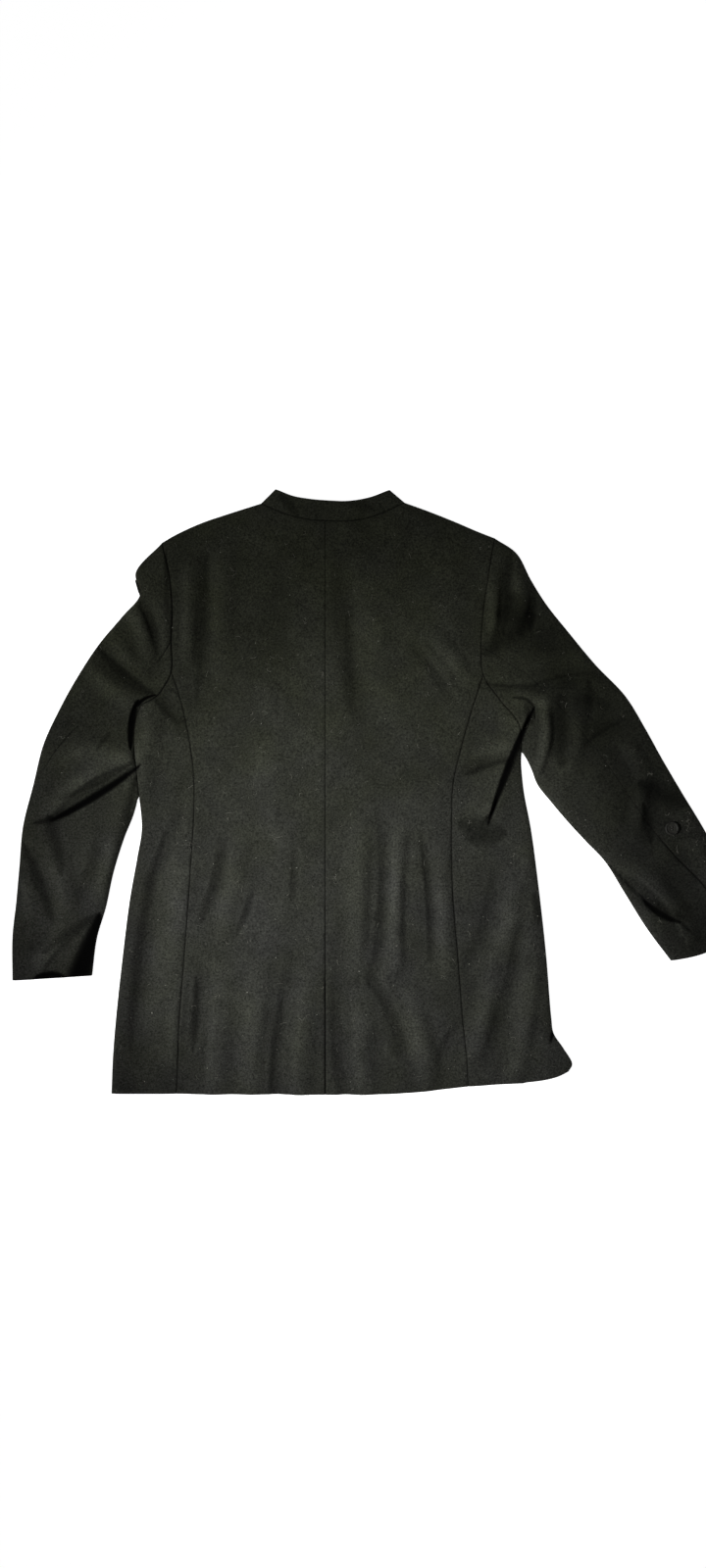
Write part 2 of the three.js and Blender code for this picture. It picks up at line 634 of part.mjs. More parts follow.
function front(side) {
  const { frontArmhole, shoulder, frontBand } = halves[side];
  const [foot, top] = frontSideSeam(side);
  const seam = divide([foot, top], 3 * MESH_STEP).list;
  const outer = [...seam, ...backwards(frontArmhole.between(0, FRONT_SEAM_ROW)).slice(1)];
  const centre = centreLine(CENTRE_X, HEM_Y + HEM_TUCK, FRONT_NECK_Y, outer);
  const topRow = [...shoulder, ...frontBand.seam.slice(1)];
  const rows = net(outer, centre, fromEvenTo(topRow), null, topRow);
  drawBack(rows, ["left"]);
  drawBack(rows, ["right"], FRONT_PARTING / 2);
  const neckColumns = rows.at(-1).slice(shoulder.length - 1);
  const belowNeck = rows.at(-2).slice(shoulder.length - 1);
  drawBack([neckColumns, belowNeck], ["first"]);
  const strips = turnNet(rows).map((line) =>
    strip([{ line, layer: "bottom", turnAtEnd: true, lift: -SEAM_GAP / 2 }]));
  return wall(`front_${side}`, strips);
}

function collar() {
  const bandWidth = [0, 1 / 3, 2 / 3, 1];
  const across = () => bandWidth;
  const back = net(backNeck.list, backBandTop, across);
  drawBack(back, ["left"]);
  const fronts = ["left", "right"].map((side) => {
    const { seam, top } = halves[side].frontBand;
    const turned = BOTTOM_TURN.map((d) => d / seam[0].distanceTo(seam[1]));
    const withTurn = (list) => [
      list[0],
      ...turned.map((part) => list[0].clone().lerp(list[1], part)),
      ...list.slice(1),
    ];
    const rows = net(withTurn(seam), withTurn(top), across);
    drawBack(rows, ["left"]);
    drawBack(rows, ["last"], FRONT_PARTING / 2);
    return rows;
  });
  const lines = bandWidth.map((_, j) => {
    const [leftFront, rightFront] = fronts.map((rows) => rows.map((row) => row[j]));
    return strip([
      { line: backwards(leftFront), layer: "bottom", turnAtEnd: true },
      { line: back.map((row) => row[j]), layer: "top", turnAtStart: true, turnAtEnd: true },
      { line: rightFront, layer: "bottom", turnAtStart: true },
    ]);
  });
  return wall("collar", lines);
}

// Each sleeve has two pieces. Both run from the elbow seam, over a turned edge, to the front seam.
function sleevePieces(side) {
  const { sleeve, armhole, frontArmhole } = halves[side];
  const cuffBow = (points) => {
    const [a, b] = [points[0], points.at(-1)];
    const outward = point(b.y - a.y, a.x - b.x).setLength(CUFF_BOWS[side]);
    const sign = a.x < b.x ? 1 : -1;
    return partsAlong(points).map((part, k) =>
      points[k].clone().addScaledVector(outward, sign * Math.sin(Math.PI * part)));
  };
  const frontSeam = sleeve.outer.map((p, i) => p.clone().lerp(sleeve.inner[i], SLEEVE_SEAM_PART));
  frontSeam[0] = frontArmhole.list[frontArmhole.marks[SLEEVE_SEAM_ROW]];
  const build = (name, edge, topStart, bottomStart) => {
    const topAcross = fromTurnedEdge(TOP_TURN, topStart.length - 1 - TOP_TURN.length);
    const top = net(edge, sleeve.elbow, topAcross, topStart);
    top[top.length - 1] = name.startsWith("under") ? cuffBow(top.at(-1)) : top.at(-1);
    drawBack(top, ["first", "right"]);
    const bottomAcross = fromTurnedEdge(BOTTOM_TURN, bottomStart.length - 1 - BOTTOM_TURN.length);
    const bottom = net(edge, frontSeam, bottomAcross, bottomStart);
    drawBack(bottom, ["first", "right"]);
    return wall(`${name}_${side}`, top.map((line, i) => strip([
      { line: backwards(line), layer: "top", turnAtEnd: true },
      { line: bottom[i], layer: "bottom", turnAtStart: true },
    ])));
  };
  return [
    build("top_sleeve", sleeve.outer,
      armhole.between(0, ELBOW_ROW), frontArmhole.between(0, SLEEVE_SEAM_ROW)),
    build("under_sleeve", sleeve.inner,
      backwards(armhole.between(ELBOW_ROW, BACK_ARMHOLES.length - 1)),
      backwards(frontArmhole.between(SLEEVE_SEAM_ROW, FRONT_ARMHOLES.length - 1))),
  ];
}

// A button with a raised rim and a foot of thread, seated on the cloth below it.
function sleeveButton(cloth) {
  const radius = BUTTON.diameter / 2;
  const foot = BUTTON.foot / 2;
  const base = BUTTON.footHeight;
  const face = base + BUTTON.thickness;
  const outline = [
    [0, 0],
    [foot, 0],
    [foot, base],
    [radius - 1, base],
    [radius, base + 1],
    [radius, face - 0.8],
    [radius - 0.8, face],
    [radius - BUTTON.rim, face],
    [radius - BUTTON.rim - 1, face - 0.8],
    [0, face - 0.8],
  ];
  const geometry = new THREE.LatheGeometry(outline.map(([x, y]) => point(x, y)), 20);
  geometry.rotateX(Math.PI / 2);
  const material = new THREE.MeshStandardMaterial({ color: BUTTON_COLOUR, roughness: 0.45 });
  const button = new THREE.Mesh(geometry, material);
  button.name = "sleeve_button_right";

  const clothBelow = (x, y) => {
    const ray = new THREE.Raycaster(new THREE.Vector3(x, y, 100), new THREE.Vector3(0, 0, -1));
    return ray.intersectObject(cloth)[0].point;
  };
  const around = Array.from({ length: 12 }, (_, k) => {
    const angle = (k * Math.PI) / 6;
    return clothBelow(BUTTON.x + radius * Math.cos(angle), BUTTON.y + radius * Math.sin(angle));
  });
  const east = around[0].clone().sub(around[6]);
  const north = around[3].clone().sub(around[9]);
  const up = east.cross(north).normalize();
  const seat = clothBelow(BUTTON.x, BUTTON.y);
  const highest = Math.max(0, ...around.map((p) => p.clone().sub(seat).dot(up) - base));
  button.position.copy(seat).addScaledVector(up, SEAM_GAP + highest);
  button.quaternion.setFromUnitVectors(new THREE.Vector3(0, 0, 1), up);
  return button;
}

const blazer = new THREE.Group();
for (const side of ["left", "right"]) {
  blazer.add(backPanel(side), sideBody(side), front(side), ...sleevePieces(side));
}
blazer.add(collar());
blazer.add(sleeveButton(blazer.getObjectByName("top_sleeve_right")));

export default blazer;
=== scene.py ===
# Looks of a blazer laid flat with its back up: fine cloth on the plan of the CAD solids, a sleeve
# button with its thread, lint, a pale floor, soft light and the photograph's camera.
# Plans are in millimetres, as in the CAD, and meshes in metres. The table is z = 0.
import math

import bpy
import numpy as np
from mathutils import Matrix, Vector
from mathutils.bvhtree import BVHTree


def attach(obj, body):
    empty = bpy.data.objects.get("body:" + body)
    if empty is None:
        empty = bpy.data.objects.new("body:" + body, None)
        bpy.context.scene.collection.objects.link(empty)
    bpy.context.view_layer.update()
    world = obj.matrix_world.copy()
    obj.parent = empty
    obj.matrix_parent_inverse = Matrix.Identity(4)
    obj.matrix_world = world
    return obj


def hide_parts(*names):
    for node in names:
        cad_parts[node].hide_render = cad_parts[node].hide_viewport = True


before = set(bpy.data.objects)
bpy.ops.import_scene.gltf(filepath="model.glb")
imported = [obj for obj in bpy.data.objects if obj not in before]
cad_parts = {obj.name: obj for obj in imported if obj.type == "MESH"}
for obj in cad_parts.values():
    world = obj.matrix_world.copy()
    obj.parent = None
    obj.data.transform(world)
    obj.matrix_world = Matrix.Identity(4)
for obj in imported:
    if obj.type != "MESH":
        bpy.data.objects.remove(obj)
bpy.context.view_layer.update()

MM = 0.001
CLOTH = 2.0  # thickness of the cloth
SEAM_GAP = 0.04  # cloth pieces all but meet at a seam
ON_EDGE = 0.3  # a point nearer than this to a turned edge lies on it
TOUCH = -0.8  # the left sleeve is pressed this far into the side body's edge
TOUCH_REACH = 2.6  # where it lies nearer than this
TOUCH_FADE = 0.8  # fully so when nearer still by this
TOUCH_FOOT = -30  # and above this y
EDGE_HEIGHT = 3.4  # height of the outermost line of a turned edge
TOP_HEIGHT = 7.8  # upper face of the upper layer, between folds
LOWEST_TOP = 4.6  # the deepest trough
HIGHEST_RIDGE = 15.0  # ridges that cross never add up to more than this
EDGE_ROLL = 16.0  # the upper layer rises from a turned edge over this distance
HEM_SINK = 1.0  # hem and cuffs lie this much lower than the rest
HEM_REACH = 60.0  # and sink over this distance
HEM_TUCK = 3.0  # the fronts' hem stays this far inside the back's
HEM_ROUND = 1.3  # a hem's edge is rounded over this distance
HEM_ROUND_DEPTH = 0.85  # and each face is drawn in by this much there
CENTRE_X = -73.0
HEM_Y = -401.0
BACK_NECK_Y = 358.0
FRONT_NECK_Y = 283.0
FRONT_SEAM_INSET = 60.0  # a front's side seam, in from the turned edge
FRONT_PARTING = 0.1  # gap between the two fronts' edges
BEND_REACH = 130.0  # a curved end row straightens out over this distance
FINE = 2.2  # spacing of the points of cloth that shows
COARSE = 14.0  # and of cloth that lies on the table
PATH_PARTS = 20  # straight runs in the curved path of a fold
RIPPLES = ((0.8, 75, 1), (0.5, 32, 2))  # height, wavelength and seed of the cloth's waves
SEAM_REACH = 22.0  # a seam changes nothing further away
SEAM_PAINTED_SHADE = 0.9  # a seam's line of painted shade takes this share of the cloth's tone away
SEAM_LINE = 0.85  # half the width of that line
GROOVE_DEPTH, GROOVE_WIDTH = 1.3, 1.1
ALLOWANCE_FROM, ALLOWANCE_WIDTH = 6, 4.5  # the pressed allowance beside the groove
ALLOWANCE_HEIGHT = 0.25
PUCKER_LENGTH, PUCKER_SEED = 15, 3
PUCKER_SHARE = 0.15  # of the groove's depth
VERY_DARK = 0.8  # a crease whose painted shade is darker than this keeps it nearly to its sides
TONE_PER_MM = 0.072  # painted light and shade: the cloth's tone changes by this power of e with each mm of a fold, lighter on ridges and darker in troughs
# how plainly each seam shows, in the depth of its groove and in its painted shade
SIDE_SEAM_SHOWS = 0.65
NECK_SEAM_SHOWS = 0.7
HEM_DIVIDED_WIDTH = 150  # the back's hem is divided as a row of this width
ARMHOLE_SHOWS = {"left": 1.0, "right": 0.6}
ELBOW_SEAM_SHOWS = {
    "left": ([30, 45, 75, 90, 170, 190], [0.1, 0.6, 0.6, 0.1, 0.1, 0.9]),
    "right": ([-75, -50, 60, 150], [0.8, 0.15, 0.15, 0.15]),
}
BAND_WIDTH = 28  # of the collar
BAND_STRIPS = 9  # between the turned points at its seam and edge
CUFF_BOW_REACH = 26  # a cuff that bows pulls the cloth along over this distance
BUTTON = {"x": 383.5, "y": -49.0, "diameter": 18.0, "under": 1.0, "face": 4.2, "dish": 0.8, "rim": 1.4,
          "crown": 0.12, "well": 3.6, "gap": 0.1, "sides": 96}
WELL_RINGS = 18  # in the button's flat middle, which has the holes
HOLES = 1.55  # a hole lies this far from the button's middle along both axes
HOLE_RADIUS = 0.85
HOLE_DEPTH = 1.5
HOLE_EDGE = 0.3  # width of its rounded edge
STITCH = {"radius": 0.2, "apart": 0.3, "sunk": 0.75, "rise": 1.15, "wobble": 0.06, "points": 13}
THREAD_FOOT = {"radius": 0.26, "reach": 1.7, "turns": 5, "sunk": 0.5, "points_a_turn": 24}
LINT = {"fibres": 700, "points": 13, "shortest": 4, "bend": 0.22, "step": (0.25, 0.8),
        "radius": (0.08, 0.15), "from": (-480, -398), "to": (480, 385), "seed": 11}
LINT_SPOT_REACH = 2.5


def table(columns, text):
    """Named columns of numbers, from lines of text. A line that starts with # is a heading."""
    rows = [line.split() for line in text.strip().splitlines() if line[0] != "#"]
    return dict(zip(columns.split(), np.array(rows, float).T.copy()))


# How plainly the centre-back seam shows, in its groove and its painted shade, from the hem up.
CENTRE_SEAM = table("y shows", """
-401 1.15
-250 0.85
-150 0.55
0 0.5
200 0.4
358 0.25
""")
# Side bodies from the hem up: the turned edge and the side-back seam.
SIDES = {
    "left": table("edgeX edgeY seamX seamY", """
-356 -400 -270 -400
-354 -350 -267 -350
-350 -300 -265 -300
-342 -225 -259 -220
-332 -145 -253 -140
-322 -88 -249 -75
-316 -50 -246 -20
-319 -10 -247 25
-323 30 -251 60
-326 66 -258 95
-324 92 -266 128
-316 114 -276 158
"""),
    "right": table("edgeX edgeY seamX seamY", """
249 -370.5 116 -390
253.6 -361 115 -372
242 -340 114 -355
229 -320 112 -335
226 -300 109 -305
219 -215 102 -215
209 -125 95 -125
199 -50 94 -45
190 -3 96 10
187 23 106 55
186 40 119 102
187 56 136 154
"""),
}
# Armholes from the shoulder to the underarm.
BACK_ARMHOLES = table("leftX leftY rightX rightY", """
-289 329 151 335
-279 286 143 289
-275 240 136 240
-276 198 133 190
-276 158 136 154
-286 138 157 122
-298 124 182 90
-316 114 187 56
""")
ELBOW_ROW = 3
BACK_SEAM_ROW = 4
FRONT_ARMHOLES = table("leftX leftY rightX rightY", """
-289 329 151 335
-268 285 137 290
-257 235 121 235
-256 190 121 180
-263 158 130 132
-280 132 152 106
-297 121 177 82
-316 114 187 56
""")
FRONT_SEAM_ROW = 4
SLEEVE_SEAM_ROW = 5
# Shoulders from the armhole to the neck.
SHOULDERS = table("leftX leftY rightX rightY", """
-289 329 151 335
-270 340 128 344
-237 355 100 356
-205 366 65 370
-158 381 32 382
""")
SHOULDER_END_ROW = 4
# The collar: its seam and its upper edge, across the back and down each front.
BACK_BAND = table("seamX seamY topX topY", """
-158 381 -139 400
-132 369 -117 391
-103 361 -96 387
-73 358 -73 385
-36 358 -42 384
0 367 -14 389
32 382 12 399
""")
CENTRE_BACK_ROW = 3
BACK_BAND_END_ROW = 6
FRONT_BANDS = {
    "left": table("seamX seamY topX topY", """
-158 381 -139 400
-143 340 -116 350
-112 300 -95 323
-73 283 -73 312
"""),
    "right": table("seamX seamY topX topY", """
32 382 12 399
12 335 -15 348
-30 297 -48 320
-73 283 -73 312
"""),
}
# Sleeves from the armhole to the cuff: outer edge, elbow seam and inner edge.
SLEEVES = {
    "left": table("outerX outerY elbowX elbowY innerX innerY", """
-289 329 -276 198 -316 114
-324 289 -292 174 -322 103
-318 261 -309 158 -325.5 90
-342 231 -325 145 -327 75
-373 194 -351 125 -327 59
-403 148 -375 106 -325.5 42
-426 106 -403 83 -323.7 23
-446 62 -431 50 -321 -6
-459 10 -454 9 -326 -29
-473 -46 -468 -47 -339 -62
-478 -101 -473 -101 -353 -107
-482 -146 -477 -146 -363 -153
-487 -192 -482 -192 -375 -194
-487 -250 -482 -250 -381.5 -244
"""),
    "right": table("outerX outerY elbowX elbowY innerX innerY", """
151 335 133 190 187 56
180 315 153 181 189 50
199 280 170 168 191 46
219 248 190 157 194 41
250 209 217 133 200 28
284 168 250 97 207.5 9
324 126 280 62 225.5 -14
351 82 306 27 247.5 -40
372 44 328 -6 271.5 -66
399 -2 354 -43 297 -93
428 -50 385 -81 322 -133
458 -107 425 -123 352 -181
492 -173 470 -191 384 -224
"""),
}
SLEEVE_SEAM_PART = 0.8
SEAM_START_REACH = 26.0  # the sleeve's front seam takes its course over this distance
CUFF_BOWS = {"left": 0, "right": 6}
RIGHT_HEM = np.array([[CENTRE_X, HEM_Y], [31, -399], [116, -390], [190, -385], [230, -378.6], [249, -370.5]],
                     float)
RIGHT_HEM_SEAM_ROW = 2

# Folds of the upper layer: a curved path, how far it bows to its left, its height at the start,
# middle and end (a trough is negative), and how far it spreads to its left and right.
FOLDS = table("x1 y1 x2 y2 bow start middle end left right", """
# upper back
-253 300 -256 175 0 2 4 2 14 12
-231 312 -241 170 1 -2 -3 -2 10 10
-211 312 -216 165 0 2 4.5 2 26 14
-52 300 -18 62 -6 -1 -3 -1 18 18
-20 300 8 110 -4 1 3 1 26 24
35 205 98 118 4 0 -3 -1 10 12
60 215 112 150 4 1 3.5 2 16 14
# middle and lower back
-190 -60 -214 -185 4 1 4 2 22 14
-208 -62 -237 -172 5 -1 -3 -1 9 9
-166 -125 -190 -190 3 -1 -3 -1 8 8
-111 -80 -114 -145 0 -1 -3 -1 8 8
-114 -215 -137 -401 -6 -1 -3.5 -3 12 12
-94 -235 -108 -401 -4 1 4 4 26 15
-150 -225 -172 -401 -4 1 4 3 18 26
-56 -245 -47 -401 -4 -1 -3.5 -3 12 12
-26 -260 -22 -401 -3 1 5 4 24 16
2 -28 -9 -250 10 -1 -4 -3 12 12
-9 -250 31 -358 8 -3 -4 -1 12 12
-26 -45 -30 -235 0 1 5 3 17 26
28 -40 22 -230 -4 1 6 3 14 20
55 -52 68 -222 4 -1 -4 -1 8 8
78 -60 86 -235 0 1 4 2 18 12
35 -270 62 -385 4 2 5 3 22 20
107 -305 80 -358 -4 -1 -3 -1 10 10
-238 -232 -248 -335 3 -1 -4 -1 10 10
-215 -225 -222 -401 0 1 5 3 26 14
-264 -235 -274 -360 0 1 4 2 14 20
# left side body
-257 12 -303 -122 6 -1 -3 -3 14 14
-303 -122 -333 -330 6 -3 -3 -1 14 14
-262 -75 -300 -300 8 1 4 2 24 24
-299 134 -257 80 6 -2 -3 -1 12 12
-300 108 -308 45 0 4 7 2 22 22
# right side body
187 80 141 -30 2 4 7 4 6 34
131 -35 127 -68 0 -1 -3 -1 20 18
166 47 104 15 -6 -1 -3 -1 12 12
178 62 120 42 -4 2 4 1 14 18
152 -105 114 -235 8 -1 -3 -1 12 12
176 -115 148 -225 6 1 4 2 22 16
185 -182 139 -363 6 -1 -3.5 -1 13 13
204 -195 178 -370 4 1 5 3 18 22
148 -220 124 -345 4 1 4 2 16 22
# left sleeve
-327 240 -308 175 4 3 6 2 16 16
-319 255 -290 172 6 -2 -3 -1 10 10
-298 262 -284 185 4 1 4 1 14 14
-371 192 -299 129 -5 -2 -3 -2 11 11
-352 203 -312 158 -4 2 5 2 16 16
-385 165 -322 118 -5 2 7 3 18 20
-426 46 -326 47 6 2 6 4 22 20
-330 38 -432 -28 -10 4 7 3 5 24
-322 26 -439 -50 -10 -2 -3 -2 12 8
-472 -75 -438 -165 6 -2 -3 -1 10 10
-430 -85 -415 -170 4 2 6 2 22 18
-468 -112 -462 -170 0 1 3 1 12 10
-368 -50 -394 -135 4 -1 -3 -1 12 12
-348 -62 -376 -150 4 1 4 1 20 16
-371 -159 -478 -212 6 -2 -3 -2 14 14
-450 -236 -404 -186 4 3 7 3 24 8
# right sleeve
168 325 153 188 4 -1 -3 -2 11 11
148 285 150 215 0 1 4 2 12 12
180 290 186 240 0 2 6 3 15 14
204 268 190 212 4 -2 -3 -3 11 11
184 208 164 206 0 -1 -1.5 -1 20 20
198 170 292 172 5 2 5 2 20 18
136 140 299 154 -6 -2 -3 -2 8 9
186 122 268 134 -6 2 6 2 16 20
216 116 206 28 8 3 6 2 11 11
240 116 222 28 8 -1 -1.5 -1 16 14
252 108 252 45 6 2 5 2 18 14
328 94 281 66 -6 -1 -3 -1 11 11
318 66 345 24 4 2 4 2 18 16
377 36 355 -62 -6 -1 -2 -1 16 16
348 14 336 -58 0 1 4 2 18 18
316 -100 400 -190 14 2 6 4 26 6
410 -70 440 -140 6 2 5 2 20 20
""")
# Sharp creases and deep hollows along curved paths: how deep, how wide to each side, and what share of the
# tone they take as painted shade, nearly black in the slits and the left cuff's mouth. A dark that is
# negative is painted light, and a crease that is 0 deep is painted shade or light with no relief under it,
# such as the broad painted shade over the right sleeve and the left side body. One that opens is widest at
# its end, and any other in its middle.
# painted light where the photograph is a little lighter, by a dark that is negative, then painted shade with
# no relief along troughs of the back
CREASES = table("x1 y1 x2 y2 bow deep left right dark opens", """
# left sleeve: its head and the underarm
-312 240 -294 180 3 0.7 9 8 0.26 0
-283 320 -280 236 0 0.5 4 7 0.4 0
-377 195 -296 126 -5 1.5 9 9 0.5 0
-296 128 -331 84 -11 3 3.6 3.6 0.99 0
-319 122 -329 54 -5 3 6.2 5.6 0.99 0
-375 52 -357 79 0 1 6 6 0.45 0
-440 88 -404 90 0 0.5 8 8 0.25 0
# left sleeve: the slit of the elbow and the hollows about it
-316 36 -438 -40 4 5 7 7 0.99 0
-326 38 -424 -12 4 0 3 16 0.4 0
-400 -20 -458 -42 3 2 9 9 0.7 0
-439 -30 -420 -112 2 1 15 14 0.5 0
-472 -68 -432 -174 3 1 12 12 0.45 0
-322 22 -362 -150 4 0 3 19 0.6 0
# left cuff
-371 -160 -446 -214 0 1 12 12 0.5 0
-370 -160 -400 -250 0 1.5 22 21 0.99 1
-457 -247 -417 -245 2 0 9 9 0.99 0
# left side body
-300 112 -308 40 0 0 20 20 0.2 0
-300 50 -335 -430 -8 0 40 40 0.2 0
-298 122 -264 88 -2 1 8 6 0.5 0
-289 135 -268 131 1 0.5 2.5 2.5 0.35 0
-283 -50 -329 -350 -13 0 12 11 0.36 0
-266 90 -253 97 0 0.5 2.5 2.5 0.4 0
# right sleeve: its head and the underarm
172 318 162 206 1 0.6 13 12 0.42 0
203 278 198 210 0 0.5 11 10 0.36 0
134 180 204 234 -2 0.4 28 20 0.45 0
150 232 200 238 0 0 16 18 0.3 0
137 143 206 140 -2 1 4 4 0.45 0
198 139 288 157 4 1 4 4 0.4 0
173 124 204 96 12 1.5 3 5 0.75 0
190 116 200 88 3 0.5 7 9 0.5 0
204 112 142 -44 -4 4 6.5 6 0.99 0
186 78 128 -22 2 0 24 26 0.22 0
236 130 240 32 0 0.4 28 24 0.45 0
218 124 304 112 4 0.4 18 16 0.3 0
276 148 276 96 0 1 11 11 0.4 0
268 60 325 96 3 1 4 4 0.4 0
# right sleeve: about the button, and the fold above the cuff
340 12 408 -18 0 1 26 26 0.55 0
346 -14 358 -70 2 1 11 10 0.5 0
388 -63 434 -57 0 0.5 2.5 2.5 0.35 0
303 -99 363 -158 0 2 3.4 4 0.72 0
347 -143 397 -173 -4 3 5 6.5 0.92 0
342 -136 402 -168 -4 0 14 7 0.45 0
390 -166 410 -186 0 1 4 4 0.5 0
170 260 446 -270 26 0 105 95 0.48 0
# right side body and the hem's corner
112 22 172 42 2 1 9 7 0.5 0
104 -40 168 -56 -3 1.5 28 27 0.45 0
112 -62 160 -62 -4 0 12 12 0.2 0
144 -30 143 -46 0 1.5 5 5 0.6 0
203 -132 210 -176 0 0.5 8 9 0.5 0
229 -313 224 -333 0 2 3.4 3.4 0.97 0
# collar and back
-134 394 -108 364 0 0.3 11 11 0.42 0
-56 386 -10 374 0 0.3 11 11 0.35 0
-66 303 104 301 0 0.3 2 2 0.14 0
-230 314 -243 118 2 0 11 11 0.32 0
-44 232 -40 100 0 0 13 13 0.25 0
# where the photograph is a little lighter, by a dark that is negative
-80 350 -70 110 0 0 70 90 -0.1 0
60 350 50 150 0 0 75 60 -0.1 0
-160 60 -160 -210 0 0 70 70 -0.12 0
-203 -60 -238 -175 4 0 11 11 0.3 0
-167 -128 -192 -192 3 0 5 7 0.28 0
-243 -245 -248 -345 2 0 7 7 0.42 0
-263 -250 -271 -335 0 0 5 5 0.28 0
-128 -270 -145 -402 -4 0 9 9 0.28 0
""")
LINT_SPOTS = table("x y count", """
-307 103 5
356 23 6
405 -40 5
408 -47 6
428 -66 4
-251 -71 4
-373 194 3
-100 225 3
35 150 3
-140 -60 3
20 -310 4
-205 -200 3
-60 -120 3
172 -330 3
-330 -210 3
70 60 3
-190 290 3
-430 20 3
""")


# ---- Plan ----
def unit(v):
    return v / np.maximum(np.linalg.norm(v, axis=-1, keepdims=True), 1e-9)


def column(tab, name):
    return np.column_stack([tab[name + "X"], tab[name + "Y"]])


def turn(reach, angles):
    return [reach * (1 - math.cos(math.radians(a))) for a in angles]


TOP_TURN = turn(EDGE_ROLL, range(12, 91, 13))
BOTTOM_TURN = turn(EDGE_HEIGHT, (22.5, 45, 67.5, 90))
SEAM_TURN = [0.7, 1.5, 2.5, 4.0]
HEM_TURN = [0.25, 0.7, 1.3, 2.4, 4.0]


def smooth(points):
    """A centripetal Catmull-Rom curve through points, as a function of places from 0 to 1."""
    points = np.asarray(points, float)
    ends = np.vstack([2 * points[0] - points[1], points, 2 * points[-1] - points[-2]])
    gaps = np.sqrt(np.linalg.norm(np.diff(ends, axis=0), axis=1))[:, None]

    def at(places):
        p = np.clip(np.asarray(places, float), 0, 1) * (len(points) - 1)
        k = np.minimum(p.astype(int), len(points) - 2)
        w = (p - k)[:, None]
        a, b, c, d = ends[k], ends[k + 1], ends[k + 2], ends[k + 3]
        g0, g1, g2 = gaps[k], gaps[k + 1], gaps[k + 2]
        s = ((b - a) / g0 - (c - a) / (g0 + g1) + (c - b) / g1) * g1
        e = ((c - b) / g1 - (d - b) / (g1 + g2) + (d - c) / g2) * g1
        return b + s * w + (3 * (c - b) - 2 * s - e) * w**2 + (2 * (b - c) + s + e) * w**3

    return at


def spread(width, start, middle, end):
    """Distances along a width, close together next to a turned edge or seam at either end."""
    turned = (start[-1] if start else 0) + (end[-1] if end else 0)
    scale = min(1, width / (1.5 * turned)) if turned else 1
    low = [0, *(d * scale for d in start)]
    high = [width - d * scale for d in reversed(end)] + [width]
    between = np.linspace(low[-1], high[0], middle + 1)[1:-1]
    return [*low, *between, *high]


def places_along(lengths, step, turns):
    """Places from 0 to 1 along runs of these lengths, close together at the turns, and the index of each
    run's start."""
    places, marks = [], []
    for k, length in enumerate(lengths):
        a, b = turns.get(k, []), turns.get(k + 1, [])
        plain = length - (a[-1] if a else 0) - (b[-1] if b else 0)
        marks.append(len(places))
        distances = spread(length, a, max(1, round(plain / step)), b)[:-1]
        places += [(k + d / length) / len(lengths) for d in distances]
    return places + [1.0], marks + [len(places)]


class Divided:
    """Points along a smooth curve through the given ones, with the index of each given one."""

    def __init__(self, points, step, turns=None):
        runs = [np.linalg.norm(b - a) for a, b in zip(points, points[1:])]
        self.places, self.marks = places_along(runs, step, turns or {})
        self.line = smooth(points)(self.places)

    def between(self, a, b):
        return self.line[self.marks[a]:self.marks[b] + 1]


def divide_sections(tab, names, step, start, end):
    """The named lines of a table of sections, all divided at the same places."""
    lines = [column(tab, name) for name in names]
    last = len(lines[0]) - 1
    longest = [max(np.linalg.norm(line[k + 1] - line[k]) for line in lines) for k in range(last)]
    places, _ = places_along(longest, step, {0: start, last: end})
    return {name: smooth(line)(places) for name, line in zip(names, lines)}


def lengths_along(points):
    return np.concatenate([[0], np.cumsum(np.linalg.norm(np.diff(points, axis=0), axis=1))])


def parts_along(points):
    lengths = lengths_along(points)
    return lengths / lengths[-1]


def follow(points, parts):
    curve = smooth(points)
    places = np.linspace(0, 1, 401)
    return curve(np.interp(parts, parts_along(curve(places)), places))


def net(left, right, across, first=None, last=None):
    """Rows of points between two sides. A first or last row that bends pulls those near it along."""
    middles = (left + right) / 2
    lengths = lengths_along(middles)
    along = lengths / lengths[-1]
    widths = np.linalg.norm(right - left, axis=1)
    parts = np.array([across(w, t) for w, t in zip(widths, along)])[:, :, None]
    rows = left[:, None] * (1 - parts) + right[:, None] * parts
    for target, row, way in ((first, 0, along), (last, -1, 1 - along)):
        if target is not None:
            shift = target - rows[row]
            weight = np.clip(1 - way * lengths[-1] / BEND_REACH, 0, None) ** 2
            rows = rows + weight[:, None, None] * shift[None]
    return rows


def from_edge(start, points, end):
    """Columns close together next to a turned edge on the left and a seam on the right."""
    middle = points - 1 - len(start) - len(end)
    return lambda width, along: np.array(spread(width, start, middle, end)) / width


def even_to(points, start, end):
    """Columns that are even in the first row and match the last row's points in the last."""
    goal = parts_along(points)
    middle = len(goal) - 1 - len(start) - len(end)

    def across(width, along):
        return (np.array(spread(width, start, middle, end)) / width) * (1 - along) + goal * along

    return across


def draw_back(rows, sides, gap=SEAM_GAP / 2):
    """Move the points on these sides of a net into it by the gap."""
    for side in sides:
        turned = rows if side in ("first", "last") else rows.transpose(1, 0, 2)
        view = turned if side in ("first", "left") else turned[::-1]
        edge, inside = view[0], view[1]
        ends = np.vstack([edge[:1], edge, edge[-1:]])
        along = unit(ends[2:] - ends[:-2])
        inward = np.column_stack([-along[:, 1], along[:, 0]])
        sign = np.sign((inward * (inside - edge)).sum(1))
        edge += inward * (sign * gap)[:, None]


# ---- Height of the two layers ----
turned_edges, hem_lines, seams = [], [], []


